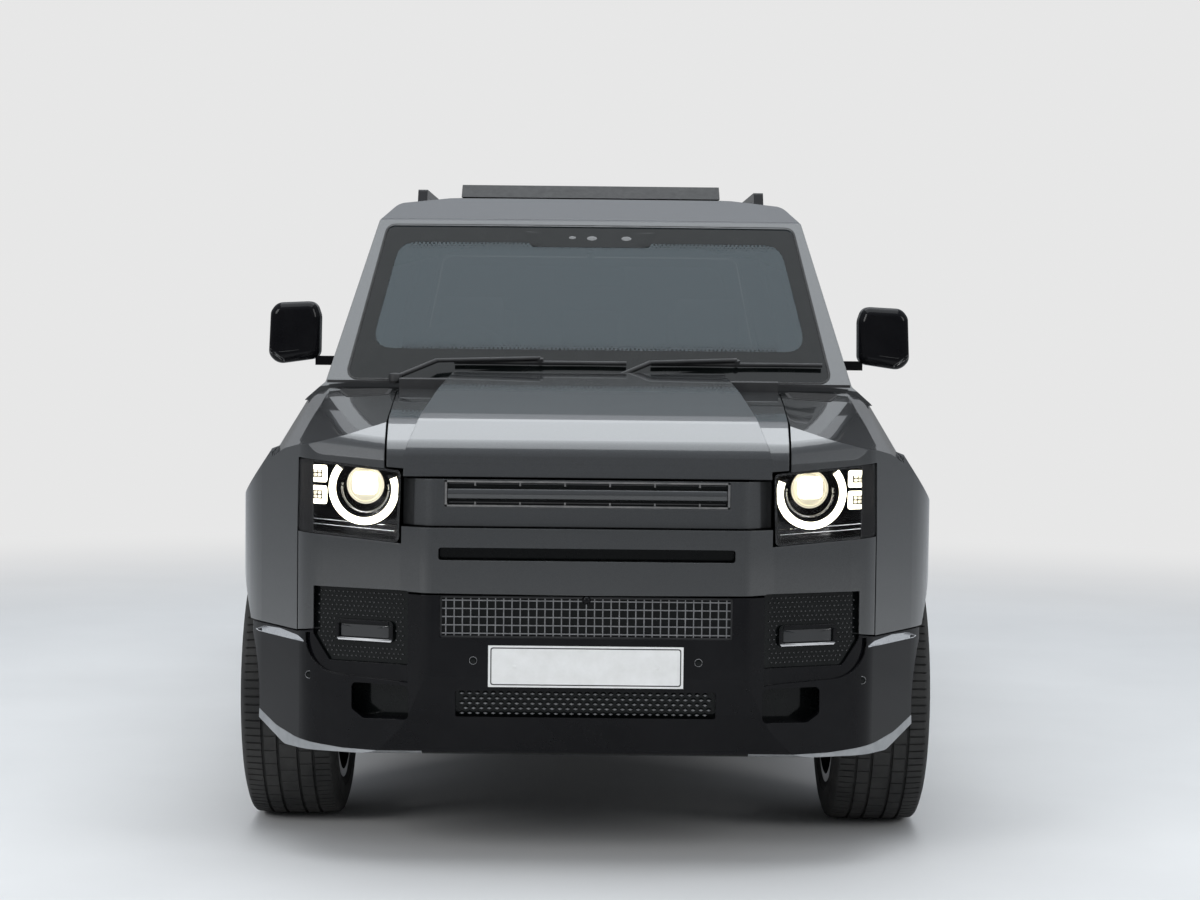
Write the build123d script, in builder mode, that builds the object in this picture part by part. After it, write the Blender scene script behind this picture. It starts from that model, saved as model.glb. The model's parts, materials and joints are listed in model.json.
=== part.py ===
"""A five-door sport utility vehicle with a side-hinged tailgate and a spare wheel on it.

Millimetres. +Z is up, the nose points to -Y and the vehicle's left side is +X. The origin is on the ground,
under the middle of the overall box. Most places along the vehicle are written as a depth: the distance
behind the foremost point of the bumper.
"""

import copy
import math
import os

from build123d import *

os.makedirs("parts", exist_ok=True)

# Overall sizes
LENGTH = 5018.0
WHEELBASE = 3022.0
FRONT_OVERHANG = 845.0
TRACK = 1704.0
HALF_FLARE = 998.0
MIRROR_SPAN = 2105.0
ROOF_TOP = 1938.0

# Clearances
SHUT_GAP = 6.0
SEAT_GAP = 0.3
SEAM = 3.0

# Wheels and tyres
TYRE_RADIUS = 403.0
TYRE_WIDTH = 275.0
RIM_RADIUS = 285.0
RIM_WIDTH = 242.0
DISC_RADIUS = 180.0
ARCH_RADIUS = 458.0

# Walls
DOOR_WALL = 92.0
PILLAR_WALL = 46.0
ROOF_WALL = 38.0
PANEL_WALL = 28.0
SHEET = 10.0
GLASS = 5.0
GLASS_RECESS = 4.0

NOSE_Y = -LENGTH / 2
HALF_TRACK = TRACK / 2
FRONT_AXLE = FRONT_OVERHANG
REAR_AXLE = FRONT_OVERHANG + WHEELBASE
AXLE_Z = TYRE_RADIUS

# Places along the vehicle, as depths
BONNET_REAR = 1290.0
SCREEN_BASE = 1400.0
POST_FOOT = 1384.0
POST_FRONT = 1404.0
DOOR_FRONT = 1482.0
PILLAR_B = 2497.0
PILLAR_C = 3461.0
TAIL = 4712.0
BUMPER_REAR = 4758.0

# Heights
SILL_BOTTOM = 330.0
FLOOR_TOP = 400.0
DOOR_BOTTOM = 470.0
LOAD_FLOOR = 700.0
BELT = 1285.0
WINDOW_BOTTOM = 1304.0
WINDOW_TOP = 1752.0
DOOR_TOP = 1790.0
GUTTER = 1826.0
ROOF_LINE = 1832.0

# The lean of the side windows and the rake of the windscreen
BELT_X = 850.0
GUTTER_X = 716.0
SCREEN_TOP = 1845.0
LEAN = (BELT_X - GUTTER_X) / (GUTTER - BELT)
RAKE = (SCREEN_TOP - SCREEN_BASE) / (GUTTER - BELT)

# How far the windscreen pillars' feet reach below the belt line
POST_DROP = 60.0

# Half widths of the engine bay and of the body's rails
BAY_HALF = 486.0
RAIL_IN = 400.0
RAIL_OUT = 470.0


def at(depth):
    """The Y of a place that lies this far behind the foremost point."""
    return NOSE_Y + depth


def moved_out(outline, gap):
    """A closed outline with every side moved outwards by a gap, or inwards where the gap is negative."""
    nexts = outline[1:] + outline[:1]
    area = sum(a[0] * b[1] - b[0] * a[1] for a, b in zip(outline, nexts))
    sense = math.copysign(1, area)
    normals = []
    for start, end in zip(outline, nexts):
        run = (end[0] - start[0], end[1] - start[1])
        size = math.hypot(*run)
        normals.append((run[1] / size * sense, -run[0] / size * sense))
    moved = []
    for point, before, after in zip(outline, normals[-1:] + normals[:-1], normals):
        share = gap / (1 + before[0] * after[0] + before[1] * after[1])
        moved.append((point[0] + (before[0] + after[0]) * share, point[1] + (before[1] + after[1]) * share))
    return moved


def full_outline(half):
    """Mirrors (a, b, radius) rows into a closed outline and its list of radii."""
    rows = half + [(-a, b, r) for a, b, r in reversed(half)]
    return [(a, b) for a, b, _ in rows], [r for _, _, r in rows]


def prism_x(outline, radius, x_low, x_high):
    """A closed outline of (depth, height) points, extruded across the vehicle."""
    with BuildPart() as solid:
        with BuildSketch(Plane.YZ.offset(x_low)):
            with BuildLine():
                FilletPolyline(*[(at(d), z) for d, z in outline], radius=radius, close=True)
            make_face()
        extrude(amount=x_high - x_low)
    return solid.part


def slanted_prism_x(outline, radius, x_low, x_high, drift):
    """Like prism_x, but the outline drifts by (depth, height) for each millimetre across."""
    with BuildPart() as solid:
        with BuildSketch(Plane.YZ.offset(x_low)):
            with BuildLine():
                FilletPolyline(*[(at(d), z) for d, z in outline], radius=radius, close=True)
            make_face()
        extrude(amount=(x_high - x_low) * math.hypot(1, *drift), dir=(1, *drift))
    return solid.part


def prism_y(outline, radius, d_low, d_high):
    """A closed outline of (x, height) points, extruded along the vehicle."""
    with BuildPart() as solid:
        with BuildSketch(Plane.XZ.offset(-at(d_high))):
            with BuildLine():
                FilletPolyline(*outline, radius=radius, close=True)
            make_face()
        extrude(amount=d_high - d_low)
    return solid.part


def prism_z(outline, radius, z_low, z_high):
    """A closed outline of (x, depth) points, extruded upwards."""
    with BuildPart() as solid:
        with BuildSketch(Plane.XY.offset(z_low)):
            with BuildLine():
                FilletPolyline(*[(x, at(d)) for x, d in outline], radius=radius, close=True)
            make_face()
        extrude(amount=z_high - z_low)
    return solid.part


def block(x_low, x_high, d_low, d_high, z_low, z_high):
    """A plain box between two corners."""
    with BuildPart() as solid:
        with Locations(((x_low + x_high) / 2, at((d_low + d_high) / 2), (z_low + z_high) / 2)):
            Box(x_high - x_low, d_high - d_low, z_high - z_low)
    return solid.part


def rod(start, end, radius):
    """A round bar between two (x, depth, height) points."""
    a = Vector(start[0], at(start[1]), start[2])
    b = Vector(end[0], at(end[1]), end[2])
    with BuildPart() as solid:
        with BuildSketch(Plane(origin=a, z_dir=(b - a).normalized())):
            Circle(radius)
        extrude(amount=(b - a).length)
    return solid.part


def drum(centre, radius, x_low, x_high):
    """A cylinder whose axis lies across the vehicle, centred at (depth, height)."""
    with BuildPart() as solid:
        with BuildSketch(Plane.YZ.offset(x_low)):
            with Locations((at(centre[0]), centre[1])):
                Circle(radius)
        extrude(amount=x_high - x_low)
    return solid.part


def post(x, depth, radius, z_low, z_high):
    """An upright cylinder."""
    return rod((x, depth, z_low), (x, depth, z_high), radius)


def other_side(shape):
    """The same piece on the other side of the vehicle."""
    return mirror(shape, about=Plane.YZ)


def both_sides(shape):
    """A left piece and its mirror image, as one shape."""
    with BuildPart() as pair:
        add(copy.deepcopy(shape))
        mirror(about=Plane.YZ)
    return pair.part


def joined(*shapes):
    """Several shapes fused."""
    with BuildPart() as whole:
        for shape in shapes:
            add(copy.deepcopy(shape))
    return whole.part


def common(first, *shapes):
    """What all the shapes share."""
    with BuildPart() as rest:
        add(copy.deepcopy(first))
        for shape in shapes:
            add(copy.deepcopy(shape), mode=Mode.INTERSECT)
    return rest.part


def cut(first, *shapes):
    """The first shape without the others."""
    with BuildPart() as rest:
        add(copy.deepcopy(first))
        for shape in shapes:
            add(copy.deepcopy(shape), mode=Mode.SUBTRACT)
    return rest.part


def write(name, shape):
    """Labels one finished piece and writes its file."""
    shape.label = name
    export_step(shape, f"parts/{name}.step")


# The cabin


def cabin_section(wall, pane, roof):
    """The cabin's cross-section, moved in by the door wall, the pillar wall and the roof wall."""
    return full_outline([
        (890 - wall, SILL_BOTTOM + roof, 0),
        (948 - wall, 600, 500),
        (956 - wall, 985, 500),
        (949 - wall, 1150, 60),
        (917 - wall - pane * 0.1, 1226 - pane * 0.4, 60),
        (BELT_X - pane, BELT - pane * 0.6, 12),
        (GUTTER_X - pane, GUTTER - roof * 0.4, 12),
        (664 - pane, 1893 - roof, 50),
        (300, ROOF_TOP - roof, 2300),
    ])


def slanted_front(foot, foot_z, run, rise, inset, sag=52.0):
    """Everything behind a bowed surface that leans back by run over rise and passes a depth at a height."""
    low = SILL_BOTTOM - 40
    back = run / rise
    start = foot - (foot_z - low) * back + inset * math.hypot(1, back)
    half = 900.0
    with BuildPart() as solid:
        with BuildSketch(Plane.XY.offset(low)):
            with BuildLine():
                ThreePointArc((-half, at(start + sag)), (0, at(start)), (half, at(start + sag)))
                Polyline((half, at(start + sag)), (half + 200, at(start + sag + 200)), (half + 200, at(8500)),
                         (-half - 200, at(8500)), (-half - 200, at(start + sag + 200)),
                         (-half, at(start + sag)))
            make_face()
        extrude(amount=(1990 - low) * math.hypot(run, rise) / rise, dir=(0, run, rise))
    return solid.part


def screen_surface(inset):
    """Everything behind the windscreen's surface."""
    return slanted_front(SCREEN_BASE - 52, BELT, SCREEN_TOP - SCREEN_BASE, GUTTER - BELT, inset)


def tail_prism(foot, foot_z, run, rise, inset, sag=26.0):
    """Everything ahead of a bowed tail surface that leans forward by run over rise."""
    low = SILL_BOTTOM - 40
    back = run / rise
    start = foot + (foot_z - low) * back - inset
    half = 940.0
    with BuildPart() as solid:
        with BuildSketch(Plane.XY.offset(low)):
            with BuildLine():
                FilletPolyline((-half - 60, at(-200)), (half + 60, at(-200)), (half + 60, at(start - 190)),
                               (half - 50 - inset * 0.3, at(start - sag)), (0, at(start)),
                               (-half + 50 + inset * 0.3, at(start - sag)), (-half - 60, at(start - 190)),
                               radius=[0, 0, 60, 90, 9000, 90, 60], close=True)
            make_face()
        extrude(amount=(1990 - low) * math.hypot(run, rise) / rise, dir=(0, -run, rise))
    return solid.part


def tail_surface(inset):
    """Everything ahead of the tail's upper surface, where the rear window is."""
    return tail_prism(TAIL, 1250, 70, 600, inset)


def cabin_hull(wall, pane, roof, screen):
    """The closed volume of the cabin from the bulkhead to the tail, moved in by its walls."""
    points, radii = cabin_section(wall, pane, roof)
    with BuildPart() as hull:
        add(prism_y(points, radii, 1380, TAIL + 60))
        add(screen_surface(screen), mode=Mode.INTERSECT)
        add(slanted_front(SCREEN_TOP - 52, GUTTER, 250, 92, roof), mode=Mode.INTERSECT)
        add(slanted_front(2040, 1915, 420, 30, roof), mode=Mode.INTERSECT)
        add(tail_prism(TAIL, 1240, 12, 640, screen + pane * 0.6), mode=Mode.INTERSECT)
        add(tail_surface(screen + pane * 0.4), mode=Mode.INTERSECT)
        add(prism_x([(POST_FOOT, BELT - POST_DROP), (POST_FOOT, 2100), (TAIL + 100, 2100),
                     (TAIL + 100, SILL_BOTTOM - 60), (DOOR_FRONT - SHUT_GAP, SILL_BOTTOM - 60),
                     (DOOR_FRONT - SHUT_GAP, BELT - POST_DROP)], 0, -1100, 1100), mode=Mode.INTERSECT)
    return hull.part


outer = cabin_hull(0, 0, 0, 0)
inner = cabin_hull(DOOR_WALL, PILLAR_WALL, ROOF_WALL, PILLAR_WALL)
behind_doors = cabin_hull(DOOR_WALL + SHUT_GAP, PILLAR_WALL + SHUT_GAP, ROOF_WALL, PILLAR_WALL)

# Side outlines, as (depth, height)
door_lean = (DOOR_TOP - BELT) * RAKE
window_lean = (WINDOW_TOP - WINDOW_BOTTOM) * RAKE
FRAME = 58.0
FRONT_DOOR = [(DOOR_FRONT, DOOR_BOTTOM), (DOOR_FRONT, BELT), (DOOR_FRONT + door_lean, DOOR_TOP),
              (PILLAR_B - SHUT_GAP / 2, DOOR_TOP), (PILLAR_B - SHUT_GAP / 2, DOOR_BOTTOM)]
REAR_DOOR = [(PILLAR_B + SHUT_GAP / 2, DOOR_BOTTOM), (PILLAR_B + SHUT_GAP / 2, DOOR_TOP),
             (PILLAR_C - SHUT_GAP / 2, DOOR_TOP), (PILLAR_C - SHUT_GAP / 2, DOOR_BOTTOM)]
FRONT_WINDOW = [(DOOR_FRONT + FRAME + 24, WINDOW_BOTTOM), (DOOR_FRONT + FRAME + 24 + window_lean, WINDOW_TOP),
                (PILLAR_B - FRAME, WINDOW_TOP), (PILLAR_B - FRAME, WINDOW_BOTTOM)]
REAR_WINDOW = [(PILLAR_B + FRAME, WINDOW_BOTTOM), (PILLAR_B + FRAME, WINDOW_TOP),
               (PILLAR_C - FRAME, WINDOW_TOP), (PILLAR_C - FRAME, WINDOW_BOTTOM)]
QUARTER_WINDOW = [(PILLAR_C + FRAME, WINDOW_BOTTOM), (PILLAR_C + FRAME, WINDOW_TOP),
                  (TAIL - 235, WINDOW_TOP), (TAIL - 180, WINDOW_BOTTOM)]
REAR_FLARE = [(REAR_AXLE - 600, 360), (REAR_AXLE - 680, 620), (REAR_AXLE - 490, 1090),
              (REAR_AXLE + 490, 1090),
              (REAR_AXLE + 680, 620), (REAR_AXLE + 600, 360)]

# Outlines across the vehicle, as (x, height)
GATE_HALF = 765.0
GATE_BOTTOM = 668.0
GATE_TOP_HALF = 662.0
GATE = [(-GATE_HALF, GATE_BOTTOM), (GATE_HALF, GATE_BOTTOM), (GATE_HALF, BELT), (GATE_TOP_HALF, DOOR_TOP),
        (-GATE_TOP_HALF, DOOR_TOP), (-GATE_HALF, BELT)]
GATE_WINDOW = [(-GATE_HALF + 75, WINDOW_BOTTOM + 20), (GATE_HALF - 75, WINDOW_BOTTOM + 20),
               (GATE_TOP_HALF - 70, WINDOW_TOP), (-GATE_TOP_HALF + 70, WINDOW_TOP)]
SCREEN = [(-790, 1292), (790, 1292), (688, 1808), (-688, 1808)]

WINDOW_CORNER = 28.0
DOOR_CORNER = 22.0
FLARE_BASE = 880.0
FLARE_SLOPE = 53.0


def side_prism(outline, radius, gap=0.0):
    """Reaches through the left wall of the cabin along a side-view outline."""
    return prism_x(moved_out(outline, gap), radius, 560, 1080)


def arch(axle, radius, x_low=560.0, x_high=1080.0):
    """The round space of one wheel arch on the left side."""
    return drum((axle, AXLE_Z), radius, x_low, x_high)


def flare(outline, corner, x_outer):
    """A raised band round a wheel opening, whose edges slope in towards its flat outer face."""
    with BuildPart() as band:
        with BuildSketch(Plane.YZ.offset(FLARE_BASE)):
            with BuildLine():
                FilletPolyline(*[(at(d), z) for d, z in outline], radius=corner, close=True)
            make_face()
        extrude(amount=x_outer - FLARE_BASE, taper=FLARE_SLOPE)
    return band.part


rear_flare = common(flare(REAR_FLARE, 60, HALF_FLARE), block(800, 1080, 2500, 5200, SILL_BOTTOM + 60, 1200))
side_wall = joined(cut(outer, inner), both_sides(cut(rear_flare, inner)))

# Doors, as left-hand pieces as thick as their wall
door_arch = arch(REAR_AXLE, ARCH_RADIUS + 46)


HANDLE_LENGTH = 215.0
HANDLE_LOW = 986.0
HANDLE_HIGH = 1022.0
HANDLE_FACE = 961.0
HANDLE_BACK = 46.0


def handle(door_rear_edge):
    """A flush pull handle near a door's rear edge."""
    rear = door_rear_edge - HANDLE_BACK
    front = rear - HANDLE_LENGTH
    return prism_x([(front, HANDLE_LOW), (rear, HANDLE_LOW), (rear, HANDLE_HIGH), (front, HANDLE_HIGH)], 12,
                   HANDLE_FACE - 30, HANDLE_FACE)


def door(outline, window, *cuts):
    """One left-hand door with its window cut and its handle."""
    panel = cut(common(side_wall, side_prism(outline, DOOR_CORNER)), side_prism(window, WINDOW_CORNER), *cuts)
    return joined(panel, handle(outline[-1][0]))


door_front = door(FRONT_DOOR, FRONT_WINDOW)
door_rear = door(REAR_DOOR, REAR_WINDOW, door_arch)


def pane(window):
    """A flat side window that lies in the lean of the cabin's side, as a left-hand piece."""
    low, high = BELT - 40, GUTTER
    x_low = BELT_X - GLASS_RECESS + 40 * LEAN
    x_high = BELT_X - GLASS_RECESS - (high - BELT) * LEAN
    section = [(x_low, low), (x_high, high), (x_high - GLASS, high), (x_low - GLASS, low)]
    slab = prism_y(section, 0, POST_FOOT, TAIL + 100)
    return common(slab, side_prism(window, WINDOW_CORNER, -SEAT_GAP))


door_glass_front = pane(FRONT_WINDOW)
door_glass_rear = pane(REAR_WINDOW)
quarter_glass = both_sides(pane(QUARTER_WINDOW))

# Door mirror: a tall rounded housing on a flat arm
MIRROR_OUT = MIRROR_SPAN / 2
MIRROR_FRONT = 1508.0
MIRROR_DEPTH = 92.0
MIRROR_ARM_Z = 1350.0
MIRROR_ROUND = 28.0
MIRROR_REAR_ROUND = 5.0
with BuildPart() as mirror_housing:
    with BuildSketch(Plane.XZ.offset(-at(MIRROR_FRONT + MIRROR_DEPTH))):
        with BuildLine():
            FilletPolyline((886, 1358), (1024, 1338), (MIRROR_OUT, 1370), (MIRROR_OUT - 6, 1510),
                           (1026, 1540), (900, 1546), (884, 1500), radius=[32, 45, 34, 32, 40, 32, 60],
                           close=True)
        make_face()
    extrude(amount=MIRROR_DEPTH)
    fillet(mirror_housing.faces().sort_by(Axis.Y)[0].edges(), MIRROR_ROUND)
    fillet(mirror_housing.faces().sort_by(Axis.Y)[-1].edges(), MIRROR_REAR_ROUND)
mirror_arm = block(830, 900, MIRROR_FRONT + 30, MIRROR_FRONT + 84, MIRROR_ARM_Z - 14, MIRROR_ARM_Z + 16)
mirror_left = cut(joined(mirror_housing.part, mirror_arm), outer)

# Tailgate
gate_cut = prism_y(moved_out(GATE, SHUT_GAP), 44, TAIL - 260, TAIL + 60)
gate_zone = block(-1000, 1000, TAIL - 170, TAIL + 60, 300, 2000)
tailgate = cut(common(cut(outer, inner), prism_y(GATE, 40, TAIL - 260, TAIL + 60), gate_zone),
               prism_y(GATE_WINDOW, 60, TAIL - 260, TAIL + 60))
tailgate_glass = common(cut(tail_surface(GLASS_RECESS), tail_surface(GLASS_RECESS + GLASS)),
                        prism_y(moved_out(GATE_WINDOW, -SEAT_GAP), 60 - SEAT_GAP, TAIL - 260, TAIL + 60))

# Windscreen
windscreen = common(cut(screen_surface(GLASS_RECESS), screen_surface(GLASS_RECESS + GLASS)),
                    prism_y(moved_out(SCREEN, -SEAT_GAP), 34 - SEAT_GAP, 1250, 2100))

# Roof, with an open sunroof whose front pane lies slid back above the rear one
SUNROOF_HALF = 420.0
SUNROOF_FRONT = 2190.0
SUNROOF_REAR = 3860.0
SUNROOF_STEP = 3010.0
SUNROOF_PANE = 16.0
SUNROOF_RIM = 40.0
SUNROOF_LIFT = 8.0
SUNROOF_CHORD = 1920.0


def roof_rectangle(half, front, rear, z_low, z_high, corner=SUNROOF_RIM):
    """A flat panel with rounded corners, symmetric about the middle of the vehicle."""
    return prism_z([(-half, front), (half, front), (half, rear), (-half, rear)], corner, z_low, z_high)


above_roof_line = block(-1100, 1100, 1300, 5200, ROOF_LINE, 2100)
roof_panel = cut(common(cut(outer, inner), above_roof_line),
                 roof_rectangle(SUNROOF_HALF, SUNROOF_FRONT, SUNROOF_REAR, 1700, 2100))
fixed_pane = roof_rectangle(SUNROOF_HALF - SEAT_GAP, SUNROOF_STEP, SUNROOF_REAR - SEAT_GAP,
                            SUNROOF_CHORD - SUNROOF_PANE, SUNROOF_CHORD)
slid_pane = roof_rectangle(SUNROOF_HALF - 10, SUNROOF_STEP - 190, SUNROOF_REAR - 210,
                           ROOF_TOP + SUNROOF_LIFT, ROOF_TOP + SUNROOF_LIFT + SUNROOF_PANE)
pane_feet = both_sides(block(SUNROOF_HALF - 60, SUNROOF_HALF - 36, SUNROOF_STEP + 40, SUNROOF_REAR - 260,
                             SUNROOF_CHORD - 1, ROOF_TOP + SUNROOF_LIFT + 1))
sunroof_panes = joined(fixed_pane, slid_pane, pane_feet)
DEFLECTOR_HALF = 455.0
DEFLECTOR_TOP = 1971.0
deflector = cut(prism_x([(2128, ROOF_TOP - 14), (2196, ROOF_TOP - 14), (2206, DEFLECTOR_TOP - 6),
                         (2196, DEFLECTOR_TOP)], [0, 0, 3, 3], -DEFLECTOR_HALF, DEFLECTOR_HALF), outer)

RAIL_X = 612.0
RAIL_TOP = 1966.0
RAIL_LENGTH = 2160.0
rail_front = 2380.0
rail_side = cut(prism_x([(rail_front, 1880), (rail_front + 70, 1880), (rail_front + 95, 1938),
                         (rail_front + RAIL_LENGTH - 95, 1938), (rail_front + RAIL_LENGTH - 70, 1880),
                         (rail_front + RAIL_LENGTH, 1880), (rail_front + RAIL_LENGTH - 70, RAIL_TOP),
                         (rail_front + 50, RAIL_TOP)], [0, 0, 12, 12, 0, 0, 18, 18],
                        RAIL_X - 17, RAIL_X + 17), outer)
roof_rails = both_sides(rail_side)

# Body shell: posts, sills, roof sides and rear corners
A_POST_IN = 770.0
A_POST_OUT = 862.0
core = cabin_hull(DOOR_WALL + 62, PILLAR_WALL + 52, ROOF_WALL + 10, PILLAR_WALL + 40)
PILLAR_HALF = 42.0
pillar_b = cut(common(block(600, 1000, PILLAR_B - PILLAR_HALF, PILLAR_B + PILLAR_HALF, FLOOR_TOP,
                            ROOF_LINE - SEAT_GAP), outer), core)
SEAL_WIDTH = 20.0
seal_face = cabin_hull(DOOR_WALL + SEAT_GAP, PILLAR_WALL + SEAT_GAP, ROOF_WALL, PILLAR_WALL)
door_seals = common(joined(
    block(800, 1000, PILLAR_B - PILLAR_HALF, PILLAR_B - PILLAR_HALF + SEAL_WIDTH, 620, BELT - 70),
    block(800, 1000, PILLAR_B + PILLAR_HALF - SEAL_WIDTH, PILLAR_B + PILLAR_HALF, 620, BELT - 70)), seal_face)
SILL_IN = 780.0
sill_top = DOOR_BOTTOM - SHUT_GAP
inner_sill = joined(block(SILL_IN, A_POST_OUT, POST_FRONT + SEAT_GAP, DOOR_FRONT, FLOOR_TOP, sill_top),
                    block(SILL_IN, SILL_IN + 100, DOOR_FRONT - SHUT_GAP, REAR_AXLE - 480, FLOOR_TOP,
                          sill_top))
post_a = block(A_POST_IN, A_POST_OUT, POST_FRONT + SEAT_GAP, DOOR_FRONT - SHUT_GAP, FLOOR_TOP, BELT - 30)
zone = block(-1100, 1100, 1300, 5200, FLOOR_TOP, ROOF_LINE - SEAT_GAP)
front_cut = cut(side_prism(FRONT_DOOR, DOOR_CORNER + 4, SHUT_GAP), behind_doors)
rear_cut = cut(side_prism(REAR_DOOR, DOOR_CORNER + 4, SHUT_GAP), behind_doors,
               arch(REAR_AXLE, ARCH_RADIUS + 40))
body_shell = cut(joined(common(side_wall, zone), both_sides(joined(pillar_b, inner_sill, post_a))),
                 both_sides(front_cut), both_sides(rear_cut), gate_cut, prism_y(SCREEN, 34, 1250, 2100),
                 both_sides(side_prism(QUARTER_WINDOW, WINDOW_CORNER)),
                 both_sides(arch(REAR_AXLE, ARCH_RADIUS)))
body_shell = joined(body_shell, both_sides(door_seals))

# Front end. Plan of the nose, as (x, depth, radius) from the middle outwards
NOSE_FACE = 3.0
NOSE_PLAN = [(430, NOSE_FACE, 60), (500, 48, 60), (760, 150, 150), (985, 480, 450), (HALF_FLARE, 700, 300),
             (HALF_FLARE, 1600, 0)]
# Profile of the chin, as (depth, height, radius) from the top down
CHIN = [(-20, 620, 200), (30, 430, 60), (75, 312, 30), (260, 305, 60), (480, 395, 60), (1600, 395, 0)]


nose_points, nose_radii = full_outline(NOSE_PLAN)
chin_points = [(d, z) for d, z, _ in CHIN] + [(1600, 1300), (-20, 1300)]
chin_radii = [r for _, _, r in CHIN] + [0, 0]


def nose_hull(inset):
    """The front end below the bonnet, moved in by a wall."""
    plan = prism_z(moved_out(nose_points, -inset), nose_radii, 280, 1110)
    return common(plan, prism_x(moved_out(chin_points, -inset), chin_radii, -1100, 1100))


NOSE_STEP = 32.0
BEAM_DEPTH = 80.0
BEAM_REAR = 395.0
nose_outer = nose_hull(0)
nose_inner = nose_hull(PANEL_WALL)
nose_seat = nose_hull(PANEL_WALL + SEAT_GAP)
nose_deep = nose_hull(PANEL_WALL + BEAM_DEPTH)
step_outer = nose_hull(NOSE_STEP)
step_inner = nose_hull(NOSE_STEP + PANEL_WALL)
FRONT_ZONE = 430.0

# Front-view outlines, as (x, height)
SPLIT = 642.0
BONNET_EDGE = 1065.0
LEDGE = 931.0
LAMP = [(504, 885), (793, 905), (789, 1106), (499, 1080)]
POD = [(480, 561), (694, 561), (739, 626), (739, 756), (480, 756)]
CREASE = [(477, 512), (765, 527), (765, SPLIT - 12), (477, SPLIT - 12)]
CREASE_CORNER = 95.0
CREASE_STEP = 8.0
EDGE = [(0, 200), (800, 200), (927, 350), (952, 480), (990, 660), (990, 800), (0, 800)]
EDGE_RADII = [0, 60, 60, 150, 0, 0, 0]
STRIP = [(440, 322), (660, 322), (800, 335), (862, 350), (930, 388), (1000, 388), (1000, 200), (440, 200)]
STRIP_RADII = [0, 200, 120, 90, 0, 0, 0, 0]
CENTRE_HALF = 497.0
LAMP_OUT = 793.0
GRILLE = [(-382, 985), (382, 985), (382, 1057), (-382, 1057)]
SLOT = [(-395, 845), (395, 845), (395, 879), (-395, 879)]
MESH = [(-390, 638), (390, 638), (390, 750), (-390, 750)]
HONEYCOMB = [(-348, 422), (348, 422), (348, 496), (-348, 496)]
TOW_RECESS = [(474, 412), (600, 407), (633, 430), (633, 503), (474, 503)]
TOW_CORNER = 14.0
TOW_DEEP = 62.0
TOW_WALL = 3.0
TOW_REAR = 240.0
UPPER_REGION = [(0, 754), (742, 759), (742, SPLIT), (LAMP_OUT - SEAM, SPLIT - 8), (LAMP_OUT - SEAM, 904),
                (504, 884.7), (CENTRE_HALF, 884.7), (CENTRE_HALF, LEDGE), (0, LEDGE)]
LOWER_REGION = [(0, 280), (1080, 280), (1080, SPLIT - 14), (LAMP_OUT, SPLIT - 14), (742, SPLIT - SEAM),
                (477, SPLIT - SEAM), (477, 754 - SEAM), (0, 754 - SEAM)]


def front_prism(outline, radius=0.0, gap=0.0):
    """Reaches through the front panels along a front-view outline."""
    return prism_y(moved_out(outline, gap), radius, -60, FRONT_ZONE)


def whole(region):
    """A region of the left half together with its mirror image, as one prism."""
    return both_sides(front_prism(region))


front_skin = cut(nose_outer, nose_inner)
pod_cut = both_sides(front_prism(POD, 6, SEAM))
bumper_upper = cut(common(front_skin, whole(UPPER_REGION)), front_prism(SLOT, 8), pod_cut)
crease_band = common(cut(nose_hull(-1), nose_hull(CREASE_STEP)),
                     both_sides(front_prism(CREASE, [0, CREASE_CORNER, 0, 0])))
strip_space = both_sides(front_prism(STRIP, STRIP_RADII))
tow_opening = prism_y(TOW_RECESS, TOW_CORNER, -60, TOW_REAR)
tow_walls = prism_y(moved_out(TOW_RECESS, TOW_WALL), TOW_CORNER + TOW_WALL, -60, TOW_REAR)
tow_pocket = cut(common(cut(nose_hull(PANEL_WALL - 1), nose_hull(TOW_DEEP)), tow_walls),
                 cut(tow_opening, nose_hull(TOW_DEEP - TOW_WALL)))
bumper_lower = cut(common(front_skin, whole(LOWER_REGION), both_sides(front_prism(EDGE, EDGE_RADII))),
                   front_prism(MESH, 6), front_prism(HONEYCOMB, 6), pod_cut, crease_band, strip_space,
                   both_sides(tow_opening), both_sides(arch(FRONT_AXLE, ARCH_RADIUS, 480)))
bumper_lower = joined(bumper_lower, both_sides(tow_pocket))
nose_panel = cut(common(cut(step_outer, step_inner),
                        block(-CENTRE_HALF + SEAM, CENTRE_HALF - SEAM, -60, 200, LEDGE + SEAM,
                              BONNET_EDGE - SHUT_GAP)),
                 front_prism(GRILLE, 6))

# Headlamps: a housing open to the front, a clear cover, a ring and a projector
LAMP_DEPTH = 120.0
LAMP_WALL = 7.0
COVER = 5.0
lamp_box = common(cut(nose_hull(COVER + SEAT_GAP), nose_hull(LAMP_DEPTH)), front_prism(LAMP, 14, -SEAT_GAP))
lamp_space = common(cut(nose_hull(0), nose_hull(LAMP_DEPTH - LAMP_WALL)), front_prism(LAMP, 10, -LAMP_WALL))
lamp_cover = common(cut(nose_outer, nose_hull(COVER)), front_prism(LAMP, 14, -SEAT_GAP))
RING_X = 605.0
RING_Z = 1026.0
RING_OUT = 99.0
RING_IN = 77.0
RING_ENDS = [(480, 1056), (800, 1103), (800, 1200), (480, 1200)]
PROJECTOR_X = 600.0
PROJECTOR_Z = 1037.0
PROJECTOR_RADIUS = 44.0
CUBES = [(708, 777, 981, 1030), (708, 777, 1040, 1086)]
CUBE_FRAME = 12.0
lamp_room = front_prism(LAMP, 10, 1 - LAMP_WALL)


def lamp_element(shape, ahead):
    """An inner piece of the lamp, from a little behind the cover to the back of the housing."""
    return cut(common(shape, lamp_room, nose_hull(ahead)), nose_hull(LAMP_DEPTH - LAMP_WALL + 2))


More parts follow.
